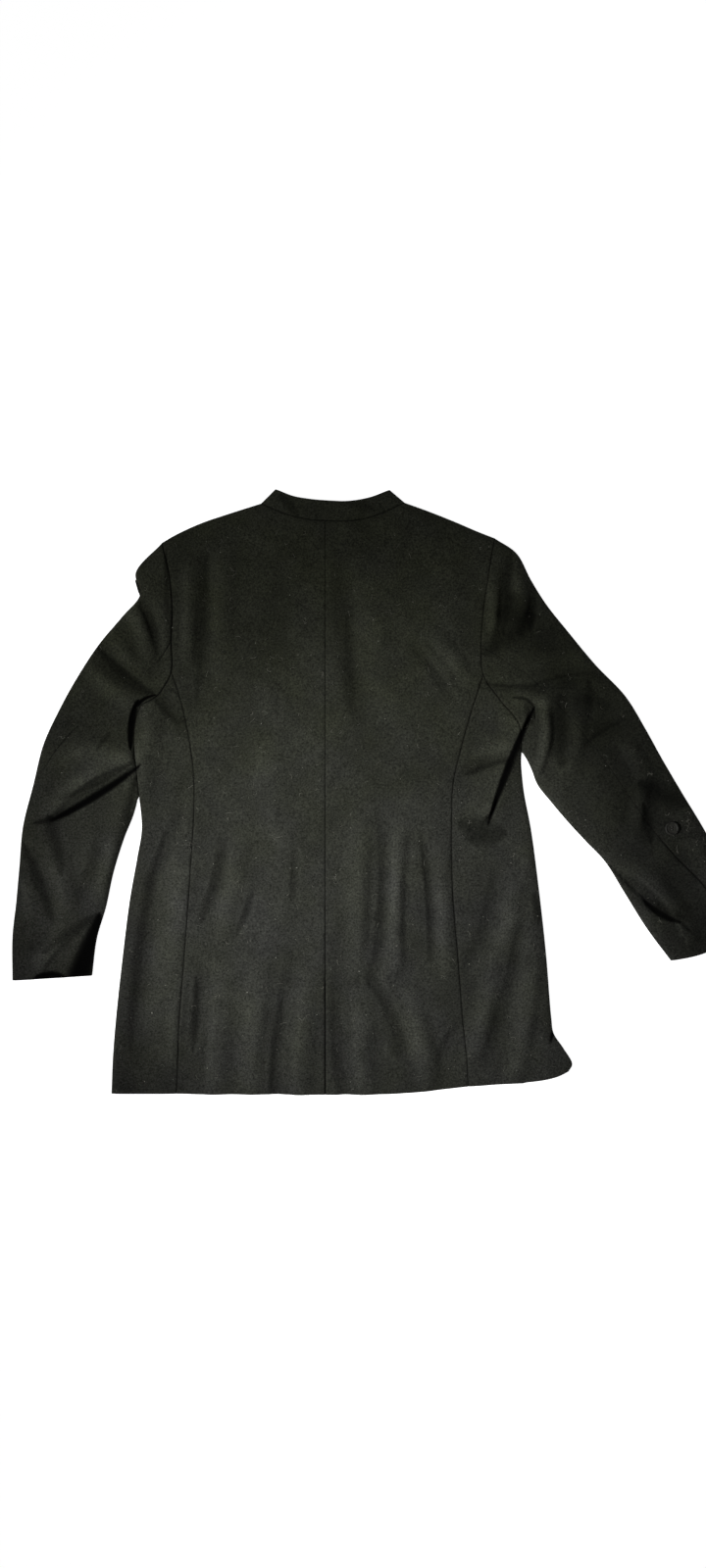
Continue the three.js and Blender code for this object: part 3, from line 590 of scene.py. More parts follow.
def steps_from(lines, points, reach):
    """Step from the nearest point of the lines, its length, or infinity beyond reach, and the index of
    the run of the lines that it lies on."""
    starts = np.vstack([line[:-1] for line in lines])
    runs = np.vstack([line[1:] - line[:-1] for line in lines])
    keep = np.flatnonzero(np.linalg.norm(runs, axis=1) > 1e-6)
    starts, runs = starts[keep], runs[keep]
    steps, far = np.zeros_like(points), np.full(len(points), np.inf)
    run = np.zeros(len(points), int)
    for some in np.array_split(np.arange(len(points)), max(1, len(points) // 1200)):
        here = points[some]
        low, high = here.min(0) - reach, here.max(0) + reach
        near = np.all(np.maximum(starts, starts + runs) >= low, axis=1)
        near &= np.all(np.minimum(starts, starts + runs) <= high, axis=1)
        if not near.any():
            continue
        a, d = starts[near], runs[near]
        away = here[:, None] - a[None]
        part = np.clip((away * d).sum(2) / (d * d).sum(1), 0, 1)
        away = away - part[..., None] * d
        length = np.sqrt((away**2).sum(2))
        nearest = length.argmin(1)
        pick = np.arange(len(here)), nearest
        found = length[pick] <= reach
        steps[some[found]] = away[pick][found]
        far[some[found]] = length[pick][found]
        run[some[found]] = keep[near][nearest][found]
    return steps, far, run


def from_seams(points):
    """Distance from the nearest seam, or infinity, and how plainly that seam shows, from 0 to 1."""
    _, far, run = steps_from([line for line, _ in seams], points, SEAM_REACH)
    return far, np.concatenate([(shows[1:] + shows[:-1]) / 2 for _, shows in seams])[run]


def near_path(points, x1, y1, x2, y2, bow, reach):
    """For the points near a curved path: which they are, their place along it from 0 to 1, and their
    distance from it, positive on its left."""
    t = np.linspace(0, 1, PATH_PARTS + 1)[:, None]
    a, b = np.array([x1, y1]), np.array([x2, y2])
    m = (a + b) / 2 + 2 * bow * unit(np.array([-(b - a)[1], (b - a)[0]]))
    path = a * (1 - t) ** 2 + 2 * m * t * (1 - t) + b * t**2
    inside = np.all((points > path.min(0) - reach) & (points < path.max(0) + reach), axis=1)
    here = points[inside]
    runs = np.diff(path, axis=0)
    away = here[:, None] - path[None, :-1]
    part = np.clip((away * runs).sum(2) / (runs * runs).sum(1), 0, 1)
    off = away - part[..., None] * runs
    length = np.sqrt((off**2).sum(2))
    k = length.argmin(1) if len(here) else np.zeros(0, int)
    pick = np.arange(len(here)), k
    place = (k + part[pick]) / PATH_PARTS
    to_left = unit(np.column_stack([-runs[k, 1], runs[k, 0]]))
    sign = np.where((to_left * away[pick]).sum(1) > 0, 1.0, -1.0)
    return inside, place, sign * length[pick]


def folds_at(points):
    """Height that the folds add, as a parabola along each and a soft bell across it."""
    total = np.zeros(len(points))
    for x1, y1, x2, y2, bow, start, middle, end, left, right in zip(*FOLDS.values()):
        inside, place, side = near_path(points, x1, y1, x2, y2, bow, max(left, right))
        q = np.minimum(1, np.abs(side) / np.where(side > 0, left, right))
        size = (start * (1 - place) * (1 - 2 * place) + middle * 4 * place * (1 - place)
                + end * place * (2 * place - 1))
        total[inside] += size * (1 - q**2) ** 2
    return total


def ripple(points, wavelength, seed):
    """Smooth uneven waves of about that length, between about -1 and 1."""
    draw = np.random.default_rng(seed)
    total = np.zeros(len(points))
    for _ in range(9):
        angle, phase = draw.uniform(0, 2 * math.pi, 2)
        length = wavelength * draw.uniform(0.7, 1.5)
        way = np.array([math.cos(angle), math.sin(angle)]) * 2 * math.pi / length
        total += np.sin(points @ way + phase)
    return total / 4


def creases_at(points):
    """Height that the sharp creases add, and the share of the cloth's tone that painted shade leaves in them,
    or more than all of it where a negative dark paints light.
    """
    height, tone = np.zeros(len(points)), np.ones(len(points))
    for x1, y1, x2, y2, bow, depth, left, right, dark, opens in zip(*CREASES.values()):
        inside, place, side = near_path(points, x1, y1, x2, y2, bow, max(left, right))
        taper = place if opens else np.sin(math.pi * place)
        width = np.where(side > 0, left, right) * np.maximum(taper, 1e-4) ** 0.5
        q = np.minimum(1, np.abs(side) / np.maximum(width, 0.05))
        height[inside] -= depth * (1 - q**2) ** 2
        sharp = 5 if dark > VERY_DARK else 2
        tone[inside] *= 1 - dark * (1 - q**sharp) ** 2
    return height, tone


def crest(points, folds):
    """Upper face of the upper layer away from turned edges."""
    _, from_hem, _ = steps_from(hem_lines, points, HEM_REACH)
    height = TOP_HEIGHT - HEM_SINK * np.clip(1 - from_hem / HEM_REACH, 0, 1) ** 2
    room = np.where(folds > 0, HIGHEST_RIDGE, height - LOWEST_TOP)
    return height + room * np.tanh(folds / room)


def sewn(points, from_seam, shows):
    """What a seam adds: a narrow groove, and the pressed allowance beside it, a little puckered."""
    pucker = ripple(points, PUCKER_LENGTH, PUCKER_SEED)
    groove = -GROOVE_DEPTH * np.exp(-((from_seam / GROOVE_WIDTH) ** 2)) * (1 + PUCKER_SHARE * pucker)
    beside = (from_seam - ALLOWANCE_FROM) / ALLOWANCE_WIDTH
    pressed = ALLOWANCE_HEIGHT * (1 + pucker) * np.exp(-(beside**2))
    return np.where(np.isfinite(from_seam), (groove + pressed) * shows, 0)


def shade(points, folds, painted_crease_shading, from_seam, shows):
    """Painted light and shade of the cloth: lighter on ridges, darker in troughs, creases and along each
    seam's line.
    """
    line = 1 - SEAM_PAINTED_SHADE * shows * np.exp(-((from_seam / SEAM_LINE) ** 2))
    return np.exp(TONE_PER_MM * folds) * painted_crease_shading * line


def lifted(rows, layer, way_in, lift=0.0):
    """Outer points with their tone of painted light and shade, and inner points, of the cloth above the plan,
    as two grids.
    """
    shape = rows.shape[:2]
    points = rows.reshape(-1, 2)
    reach = EDGE_ROLL if layer == "top" else EDGE_HEIGHT
    step, away, _ = steps_from(turned_edges, points, reach)
    inward = np.where((away > ON_EDGE)[:, None], unit(step), way_in.reshape(-1, 2))
    part = np.minimum(1, away / reach)
    rounded = np.sqrt(np.clip(1 - (1 - part) ** 2, 0, 1))
    base = EDGE_HEIGHT + lift * (1 - part) ** 2
    if layer == "top":
        from_seam, shows = from_seams(points)
        folds = sum((size * ripple(points, length, seed) for size, length, seed in RIPPLES), folds_at(points))
        deep, painted_crease_shading = creases_at(points)
        raised = crest(points, folds + deep) + sewn(points, from_seam, shows)
        outer = base + (raised - EDGE_HEIGHT) * rounded
        inner = outer - CLOTH * rounded
        _, from_hem, _ = steps_from(hem_lines, points, 2 * HEM_ROUND)
        over = np.sqrt(1 - (1 - np.minimum(1, from_hem / HEM_ROUND)) ** 2)
        over = HEM_ROUND_DEPTH * (1 - over) * rounded
        outer, inner = outer - over, inner + over
        tone = shade(points, folds, painted_crease_shading, from_seam, shows)
    else:
        outer = base - EDGE_HEIGHT * rounded
        inner = base + (CLOTH - EDGE_HEIGHT) * rounded
        tone = np.ones(len(points))
    shifted = points + inward * (CLOTH * (1 - part))[:, None]
    return (np.column_stack([points, outer, tone]).reshape(*shape, 4),
            np.column_stack([shifted, inner]).reshape(*shape, 3))


def way_in_from(rows, side, steps):
    """Direction into the piece from its turned edge, for every point of a net."""
    if side == "left":
        way = unit(rows[:, steps] - rows[:, 0])[:, None]
    else:
        edge, inside = (0, steps) if side == "first" else (-1, -1 - steps)
        way = unit(rows[inside] - rows[edge])[None]
    return np.broadcast_to(way, rows.shape).copy()


# ---- Meshes ----
def shown(name, data):
    """A new object in the scene."""
    made = bpy.data.objects.new(name, data)
    bpy.context.collection.objects.link(made)
    return made


def smooth_mesh(name, points, faces):
    mesh = bpy.data.meshes.new(name)
    mesh.from_pydata((points * MM).tolist(), [], faces)
    mesh.polygons.foreach_set("use_smooth", np.ones(len(faces), bool))
    return mesh


def wall(name, outer, inner, cut):
    """A closed wall of cloth. cut is where each point lies on the cut piece, in metres, for the weave."""
    outer, tone = outer[..., :3], outer[..., 3]
    rows, columns = outer.shape[:2]
    count = rows * columns
    index = np.arange(count).reshape(rows, columns)
    quads = np.stack([index[:-1, :-1], index[:-1, 1:], index[1:, 1:], index[1:, :-1]], -1).reshape(-1, 4)
    rim = np.concatenate([index[0, :-1], index[:-1, -1], index[-1, :0:-1], index[:0:-1, 0]])
    after = np.roll(rim, -1)
    sides = np.column_stack([after, rim, rim + count, after + count])
    faces = np.vstack([quads, quads[:, ::-1] + count, sides])
    points = np.vstack([outer.reshape(-1, 3), inner.reshape(-1, 3)])
    a, b, c, d = points[faces.T] * MM
    if (a * (np.cross(b, c) + np.cross(c, d))).sum() < 0:
        faces = faces[:, ::-1]
    mesh = smooth_mesh(name, points, faces.tolist())
    flat = np.vstack([cut.reshape(-1, 2), cut.reshape(-1, 2)])
    mesh.uv_layers.new(name="cut").data.foreach_set("uv", flat[faces.ravel()].astype(np.float32).ravel())
    # the tone, which is painted light and shade, goes to the material as a mesh attribute
    mesh.attributes.new("tone", "FLOAT", "POINT").data.foreach_set(
        "value", np.tile(tone.ravel(), 2).astype(np.float32))
    mesh.validate()
    return shown(name, mesh)


def cut_of(outer, along_axis):
    """Lengths along and across a grid of points, in metres, as if the cloth lay flat."""
    outer = outer[..., :3]
    rows = np.linalg.norm(np.diff(outer, axis=0), axis=2)
    columns = np.linalg.norm(np.diff(outer, axis=1), axis=2)
    u = np.concatenate([np.zeros((1, outer.shape[1])), np.cumsum(rows, 0)])
    v = np.concatenate([np.zeros((outer.shape[0], 1)), np.cumsum(columns, 1)], 1)
    middle = v[:, v.shape[1] // 2][:, None]
    pair = (v - middle, u) if along_axis == 0 else (u, v)
    return np.stack(pair, -1) * MM


# ---- Plan of one half ----
def plan_of_half(side):
    last = len(BACK_ARMHOLES["leftX"]) - 1
    sections = divide_sections(SIDES[side], ["edge", "seam"], FINE, HEM_TURN, SEAM_TURN)
    sleeve = divide_sections(SLEEVES[side], ["outer", "elbow", "inner"], FINE, SEAM_TURN, HEM_TURN)
    step, away, _ = steps_from([sections["edge"]], sleeve["inner"], TOUCH_REACH)
    touching = np.clip((TOUCH_REACH - away) / TOUCH_FADE, 0, 1) * (sleeve["inner"][:, 1] > TOUCH_FOOT)
    sleeve["inner"] -= step * (touching * np.clip(1 - TOUCH / np.maximum(away, 1e-6), 0, 1))[:, None]
    armhole = Divided(column(BACK_ARMHOLES, side), FINE, {
        0: TOP_TURN, ELBOW_ROW: SEAM_TURN, BACK_SEAM_ROW: SEAM_TURN, last: TOP_TURN})
    front_armhole = Divided(column(FRONT_ARMHOLES, side), COARSE, {0: BOTTOM_TURN, last: BOTTOM_TURN})
    shoulder = Divided(column(SHOULDERS, side), FINE, {0: SEAM_TURN, SHOULDER_END_ROW: SEAM_TURN}).line
    front_band = divide_sections(FRONT_BANDS[side], ["seam", "top"], COARSE / 2, [], [])
    collar_end = np.array([front_band["seam"][0], front_band["top"][0]])
    turned_edges.extend([sections["edge"], sleeve["outer"], sleeve["inner"], shoulder, collar_end])
    hem_lines.append(np.array([sleeve["outer"][-1], sleeve["inner"][-1]]))
    heights, shows = ELBOW_SEAM_SHOWS[side]
    seams.append((sleeve["elbow"], np.interp(sleeve["elbow"][:, 1], heights, shows)))
    seams.append((sections["seam"], np.full(len(sections["seam"]), SIDE_SEAM_SHOWS)))
    seams.append((armhole.line, np.full(len(armhole.line), ARMHOLE_SHOWS[side])))
    return sections, sleeve, armhole, front_armhole, shoulder, front_band


halves = {side: plan_of_half(side) for side in ("left", "right")}
back_neck = Divided(column(BACK_BAND, "seam"), FINE, {
    0: TOP_TURN, CENTRE_BACK_ROW: SEAM_TURN, BACK_BAND_END_ROW: TOP_TURN})
back_band_top = smooth(column(BACK_BAND, "top"))(back_neck.places)
hems = {
    "left": {"back": np.array([column(SIDES["left"], "seam")[0], [CENTRE_X, HEM_Y]])},
    "right": {"back": RIGHT_HEM[RIGHT_HEM_SEAM_ROW::-1], "side": RIGHT_HEM[:RIGHT_HEM_SEAM_ROW - 1:-1]},
}
hems["left"]["side"] = np.array([halves["left"][0]["edge"][0], hems["left"]["back"][0]])
hem_lines.extend([hems[side][part] for side in hems for part in ("back", "side")])
hem_lines.append(back_band_top)
seams.append((back_neck.line, np.full(len(back_neck.line), NECK_SEAM_SHOWS)))
seams.append((np.column_stack([np.full(len(CENTRE_SEAM["y"]), CENTRE_X), CENTRE_SEAM["y"]]),
              CENTRE_SEAM["shows"]))


def centre_line(x, bottom, top, others):
    part = (others[:, 1] - others[0, 1]) / (others[-1, 1] - others[0, 1])
    return np.column_stack([np.full(len(others), x), bottom + part * (top - bottom)])


# ---- Pieces ----
def flat_piece(name, rows, layer, turn, lift):
    """A wall in one layer, which turns at its last row."""
    outer, inner = lifted(rows, layer, way_in_from(rows, "last", len(turn)), lift)
    return wall(name, outer, inner, cut_of(outer, 0))


def back_panel(side):
    sections, _, armhole, _, shoulder, _ = halves[side]
    outer_side = np.vstack([sections["seam"], armhole.between(0, BACK_SEAM_ROW)[::-1][1:]])
    centre = centre_line(CENTRE_X, HEM_Y, BACK_NECK_Y, outer_side)
    half_neck = (back_neck.between(0, CENTRE_BACK_ROW) if side == "left"
                 else back_neck.between(CENTRE_BACK_ROW, BACK_BAND_END_ROW)[::-1])
    top_row = np.vstack([shoulder, half_neck[1:]])
    across = even_to(top_row, SEAM_TURN, SEAM_TURN)
    hem_row = follow(hems[side]["back"], across(HEM_DIVIDED_WIDTH, 0))
    rows = net(outer_side, centre, across, hem_row, top_row)
    draw_back(rows, ["left", "right"])
    draw_back(rows[::-1][:2, len(shoulder) - 1:], ["first"])
    return flat_piece(f"cloth_back_{side}", rows, "top", TOP_TURN, SEAM_GAP / 2)


def front_side_seam(side):
    sections, _, _, front_armhole, _, _ = halves[side]
    towards = 1 if side == "left" else -1
    corner = sections["edge"][0]
    foot = np.array([corner[0] + towards * FRONT_SEAM_INSET, SIDES[side]["seamY"][0] + HEM_TUCK])
    return foot, front_armhole.line[front_armhole.marks[FRONT_SEAM_ROW]]


def folded(name, top, bottom):
    """A wall that runs over a turned edge, from a net of the upper layer to one of the lower."""
    top_out, top_in = lifted(top, "top", way_in_from(top, "left", len(TOP_TURN)))
    low_out, low_in = lifted(bottom, "bottom", way_in_from(bottom, "left", len(BOTTOM_TURN)))
    outer = np.concatenate([top_out[:, ::-1], low_out[:, 1:]], 1)
    inner = np.concatenate([top_in[:, ::-1], low_in[:, 1:]], 1)
    return wall(name, outer, inner, cut_of(outer, 0))


def side_body(side):
    sections, _, armhole, front_armhole, _, _ = halves[side]
    last = len(armhole.marks) - 1
    underarm = armhole.between(BACK_SEAM_ROW, last)[::-1]
    across = from_edge(TOP_TURN, len(underarm), SEAM_TURN)
    hem_width = np.linalg.norm(sections["edge"][0] - sections["seam"][0])
    hem_row = follow(hems[side]["side"], across(hem_width, 0))
    top = net(sections["edge"], sections["seam"], across, hem_row, underarm)
    draw_back(top, ["right", "last"])
    front_underarm = front_armhole.between(FRONT_SEAM_ROW, last)[::-1]
    below = from_edge(BOTTOM_TURN, len(front_underarm), [])
    foot, head = front_side_seam(side)
    part = parts_along(sections["edge"])[:, None]
    bottom = net(sections["edge"], foot * (1 - part) + head * part, below, None, front_underarm)
    draw_back(bottom, ["right", "last"])
    return folded(f"cloth_side_{side}", top, bottom)


def front(side):
    _, _, _, front_armhole, shoulder, front_band = halves[side]
    foot, head = front_side_seam(side)
    seam = Divided(np.array([foot, head]), COARSE).line
    outer_side = np.vstack([seam, front_armhole.between(0, FRONT_SEAM_ROW)[::-1][1:]])
    centre = centre_line(CENTRE_X, HEM_Y + HEM_TUCK, FRONT_NECK_Y, outer_side)
    top_row = np.vstack([shoulder, front_band["seam"][1:]])
    rows = net(outer_side, centre, even_to(top_row, [], []), None, top_row)
    draw_back(rows, ["left"])
    draw_back(rows, ["right"], FRONT_PARTING / 2)
    draw_back(rows[::-1][:2, len(shoulder) - 1:], ["first"])
    return flat_piece(f"cloth_front_{side}", rows, "bottom", BOTTOM_TURN, -SEAM_GAP / 2)


def collar():
    band = np.array(spread(BAND_WIDTH, SEAM_TURN, BAND_STRIPS, HEM_TURN)) / BAND_WIDTH
    rows = net(back_neck.line, back_band_top, lambda width, along: band)
    draw_back(rows, ["left"])
    ends = []
    for side in ("left", "right"):
        seam, top = halves[side][5]["seam"], halves[side][5]["top"]
        turned = np.array(BOTTOM_TURN)[:, None] / np.linalg.norm(seam[1] - seam[0])

        def with_turn(line):
            return np.vstack([line[:1], line[0] * (1 - turned) + line[1] * turned, line[1:]])

        strip = net(with_turn(seam), with_turn(top), lambda width, along: band)
        draw_back(strip, ["left"])
        draw_back(strip, ["last"], FRONT_PARTING / 2)
        ends.append(lifted(strip, "bottom", way_in_from(strip, "first", len(BOTTOM_TURN))))
    steps, half = len(TOP_TURN), len(rows) // 2
    back = lifted(rows, "top", np.concatenate([
        way_in_from(rows, "first", steps)[:half], way_in_from(rows, "last", steps)[half:]]))
    outer, inner = (np.concatenate([left[:0:-1], middle, right[1:]])
                    for left, middle, right in zip(ends[0], back, ends[1]))
    return wall("cloth_collar", outer, inner, cut_of(outer, 1))


def sleeve_pieces(side):
    _, sleeve, armhole, front_armhole, _, _ = halves[side]
    last = len(armhole.marks) - 1
    straight = sleeve["outer"] * (1 - SLEEVE_SEAM_PART) + sleeve["inner"] * SLEEVE_SEAM_PART
    start = front_armhole.line[front_armhole.marks[SLEEVE_SEAM_ROW]]
    fade = np.clip(1 - lengths_along(straight) / SEAM_START_REACH, 0, 1)[:, None]
    front_seam = straight + (start - straight[0]) * fade
    made = []
    for name, edge, top_start, bottom_start in (
        ("top_sleeve", sleeve["outer"], armhole.between(0, ELBOW_ROW),
         front_armhole.between(0, SLEEVE_SEAM_ROW)),
        ("under_sleeve", sleeve["inner"], armhole.between(ELBOW_ROW, last)[::-1],
         front_armhole.between(SLEEVE_SEAM_ROW, last)[::-1]),
    ):
        across = from_edge(TOP_TURN, len(top_start), SEAM_TURN)
        top = net(edge, sleeve["elbow"], across, top_start)
        if name == "under_sleeve":
            a, b = top[-1, 0], top[-1, -1]
            outward = unit(np.array([b[1] - a[1], a[0] - b[0]])) * CUFF_BOWS[side]
            bow = np.sin(math.pi * parts_along(top[-1]))[:, None] * outward * (1 if a[0] < b[0] else -1)
            reach = np.clip(1 - lengths_along((edge + sleeve["elbow"]) / 2)[::-1] / CUFF_BOW_REACH, 0, 1)
            top += reach[:, None, None] * bow[None]
        draw_back(top, ["first", "right"])
        below = from_edge(BOTTOM_TURN, len(bottom_start), [])
        bottom = net(edge, front_seam, below, bottom_start)
        draw_back(bottom, ["first", "right"])
        made.append(folded(f"cloth_{name}_{side}", top, bottom))
    return made


pieces = {}
for half_name in ("left", "right"):
    pieces[f"back_{half_name}"] = back_panel(half_name)
    pieces[f"side_{half_name}"] = side_body(half_name)
    pieces[f"front_{half_name}"] = front(half_name)
    pieces[f"top_sleeve_{half_name}"], pieces[f"under_sleeve_{half_name}"] = sleeve_pieces(half_name)
pieces["collar"] = collar()


# ---- Button, thread and lint ----
def tube(points, radius, sides=6):
    """Points and faces of a round thread through points, closed at both ends."""
    points = np.asarray(points, float)
    ahead = unit(np.gradient(points, axis=0))
    sideways = unit(np.cross(ahead, [0.12, 0.2, 1.0]))
    upward = np.cross(sideways, ahead)
    angles = np.arange(sides) * 2 * math.pi / sides
    swell = radius * np.sin(np.linspace(0.35, math.pi - 0.35, len(points))) ** 0.3
    rings = (points[:, None] + swell[:, None, None] * (
        np.cos(angles)[None, :, None] * sideways[:, None] + np.sin(angles)[None, :, None] * upward[:, None]))
    faces = []
    for k in range(len(points) - 1):
        for j in range(sides):
            a, b = k * sides + j, k * sides + (j + 1) % sides
            faces.append([a, b, b + sides, a + sides])
    faces.append(list(range(sides))[::-1])
    faces.append([(len(points) - 1) * sides + j for j in range(sides)])
    return rings.reshape(-1, 3), faces


def joined(name, parts):
    """One smooth mesh object of many parts, each with its points in millimetres and its faces."""
    points, faces, count = [], [], 0
    for part_points, part_faces in parts:
        points.append(part_points)
        faces += [[i + count for i in face] for face in part_faces]
        count += len(part_points)
    mesh = smooth_mesh(name, np.vstack(points), faces)
    mesh.validate()
    return shown(name, mesh)


def tree_of(piece):
    mesh = piece.data
    return BVHTree.FromPolygons([v.co for v in mesh.vertices], [p.vertices for p in mesh.polygons])


def cloth_below(tree, x, y):
    """Height of the cloth at a place, in millimetres, or None off its edge."""
    hit = tree.ray_cast(Vector((x * MM, y * MM, 0.1)), Vector((0, 0, -1)))[0]
    return None if hit is None else hit.z / MM


def seat_of_button(tree):
    """Matrix that sets a button on the cloth, in millimetres."""
    radius = BUTTON["diameter"] / 2
    angles = np.arange(12) * math.pi / 6
    around = [Vector((x, y, cloth_below(tree, x, y))) for x, y in zip(
        BUTTON["x"] + radius * np.cos(angles), BUTTON["y"] + radius * np.sin(angles))]
    up = (around[0] - around[6]).cross(around[3] - around[9]).normalized()
    seat = Vector((BUTTON["x"], BUTTON["y"], cloth_below(tree, BUTTON["x"], BUTTON["y"])))
    highest = max(0, *((p - seat).dot(up) - BUTTON["under"] for p in around))
    turned = Vector((0, 0, 1)).rotation_difference(up).to_matrix().to_4x4()
    return Matrix.Translation(seat + up * (highest + BUTTON["gap"])) @ turned


def placed(matrix, points):
    points = np.asarray(points, float)
    turned = np.array(matrix)
    return points @ turned[:3, :3].T + turned[:3, 3]


def button_form():
    """A sew-through button: a dished face with four holes, a round rim and a flat underside."""
    radius, face, under = BUTTON["diameter"] / 2, BUTTON["face"], BUTTON["under"]
    dish = face - BUTTON["dish"]
    well, crown = BUTTON["well"], BUTTON["crown"]
    outline = [(r, dish) for r in np.linspace(0.2, well, WELL_RINGS)]
    outline += [(r, dish + 0.04 * (r - well)) for r in np.linspace(4.0, radius - 3.0, 5)]
    rim, inner = radius - BUTTON["rim"], BUTTON["rim"]
    half = (face + crown - under) / 2
    for angle in np.radians(np.arange(200, -91, -15)):
        if angle > math.pi / 2:
            r = rim + inner * math.cos(angle)
            z = dish + crown + BUTTON["dish"] * max(0, math.sin(angle)) ** 1.3
        else:
            r = rim + inner * math.cos(angle) ** 0.7 if angle < math.pi / 2 else rim
            z = under + half + half * math.sin(angle)
        outline.append((r, z))
    outline += [(r, under) for r in (rim - 1.5, 4, 2)]
    angles = np.arange(BUTTON["sides"]) * 2 * math.pi / BUTTON["sides"]
    points = np.array([np.column_stack([r * np.cos(angles), r * np.sin(angles), np.full(len(angles), z)])
                       for r, z in outline])
    for x in (-HOLES, HOLES):
        for y in (-HOLES, HOLES):
            d = np.linalg.norm(points[:WELL_RINGS, :, :2] - [x, y], axis=2)
            pit = np.clip((HOLE_RADIUS + HOLE_EDGE / 2 - d) / HOLE_EDGE, 0, 1)
            points[:WELL_RINGS, :, 2] -= HOLE_DEPTH * pit * pit * (3 - 2 * pit)
    rings, sides = points.shape[:2]
    faces = [[a, a + sides, b + sides, b] for k in range(0, (rings - 1) * sides, sides)
             for a, b in ((k + j, k + (j + 1) % sides) for j in range(sides))]
    flat = np.vstack([points.reshape(-1, 3), [[0, 0, dish], [0, 0, under]]])
    top, low = rings * sides, rings * sides + 1
    faces += [[top, j, (j + 1) % sides] for j in range(sides)]
    last = (rings - 1) * sides
    faces += [[low, last + (j + 1) % sides, last + j] for j in range(sides)]
    return flat, faces


def thread_form():
    """Two stitches of three strands through the holes, and the wound foot below the button."""
    face = BUTTON["face"] - BUTTON["dish"]
    parts = []
    for y in (-HOLES, HOLES):
        for strand in (-1, 0, 1):
            t = np.linspace(-1, 1, STITCH["points"])
            arch = face - STITCH["sunk"] + STITCH["rise"] * np.sqrt(np.clip(1 - t**4, 0, 1))
            wobble = STITCH["wobble"] * np.sin(5 * t + strand + y)
            parts.append(tube(np.column_stack([
                t * (HOLES + 0.1 * strand), y + STITCH["apart"] * strand + wobble,
                arch - 0.05 * strand**2]), STITCH["radius"]))
    turns, reach = THREAD_FOOT["turns"], THREAD_FOOT["reach"]
    angles = np.linspace(0, 2 * math.pi * turns, turns * THREAD_FOOT["points_a_turn"] + 1)
    height = np.linspace(-THREAD_FOOT["sunk"], BUTTON["under"] + 0.1, len(angles))
    parts.append(tube(np.column_stack([reach * np.cos(angles), reach * np.sin(angles), height]),
                      THREAD_FOOT["radius"]))
    return parts


def lint_fibres():
    """Short curled fibres that lie on the cloth, strewn at random and at the places in a table."""
    draw = np.random.default_rng(LINT["seed"])
    trees = [tree_of(piece) for name, piece in pieces.items() if not name.startswith(("front", "collar"))]
    starts = [(x, y) for x, y, count in zip(*LINT_SPOTS.values()) for _ in range(int(count))]
    shifts = draw.uniform(-LINT_SPOT_REACH, LINT_SPOT_REACH, (len(starts), 2))
    starts = [(x + dx, y + dy) for (x, y), (dx, dy) in zip(starts, shifts)]
    starts += [tuple(p) for p in draw.uniform(LINT["from"], LINT["to"], (LINT["fibres"], 2))]
    parts = []
    for x, y in starts:
        angle, bend = draw.uniform(0, 2 * math.pi), draw.normal(0, LINT["bend"])
        step, radius = draw.uniform(*LINT["step"]), draw.uniform(*LINT["radius"])
        found = [t for t in trees if cloth_below(t, x, y) is not None]
        if not found:
            continue
        path = []
        for _ in range(LINT["points"]):
            z = cloth_below(found[0], x, y)
            if z is None:
                break
            path.append((x, y, z + radius * 0.8))
            x, y = x + step * math.cos(angle), y + step * math.sin(angle)
            angle += bend
        if len(path) >= LINT["shortest"]:
            parts.append(tube(path, radius, 4))
    return parts


button_seat = seat_of_button(tree_of(pieces["top_sleeve_right"]))
button_points, button_faces = button_form()
button = joined("sleeve_button", [(placed(button_seat, button_points), button_faces)])
thread = joined("button_thread", [(placed(button_seat, p), f) for p, f in thread_form()])
lint = joined("lint", lint_fibres())


# ---- Materials ----
def fill(made, **inputs):
    """Set a node's inputs, or link those whose value is an output of another node."""
    for name, value in inputs.items():
        name = name.replace("_", " ").strip()
        socket = made.inputs[int(name) if name.isdigit() else name]
        if isinstance(value, bpy.types.NodeSocket):
            made.id_data.links.new(value, socket)
        else:
            socket.default_value = value
    return made


def node(tree, kind, settings=(), **inputs):
    made = tree.nodes.new("ShaderNode" + kind)
    for name, value in dict(settings).items():
        setattr(made, name, value)
    return fill(made, **inputs)


def new_material(name):
    made = bpy.data.materials.new(name)
    made.use_nodes = True
    return made, made.node_tree, made.node_tree.nodes["Principled BSDF"]


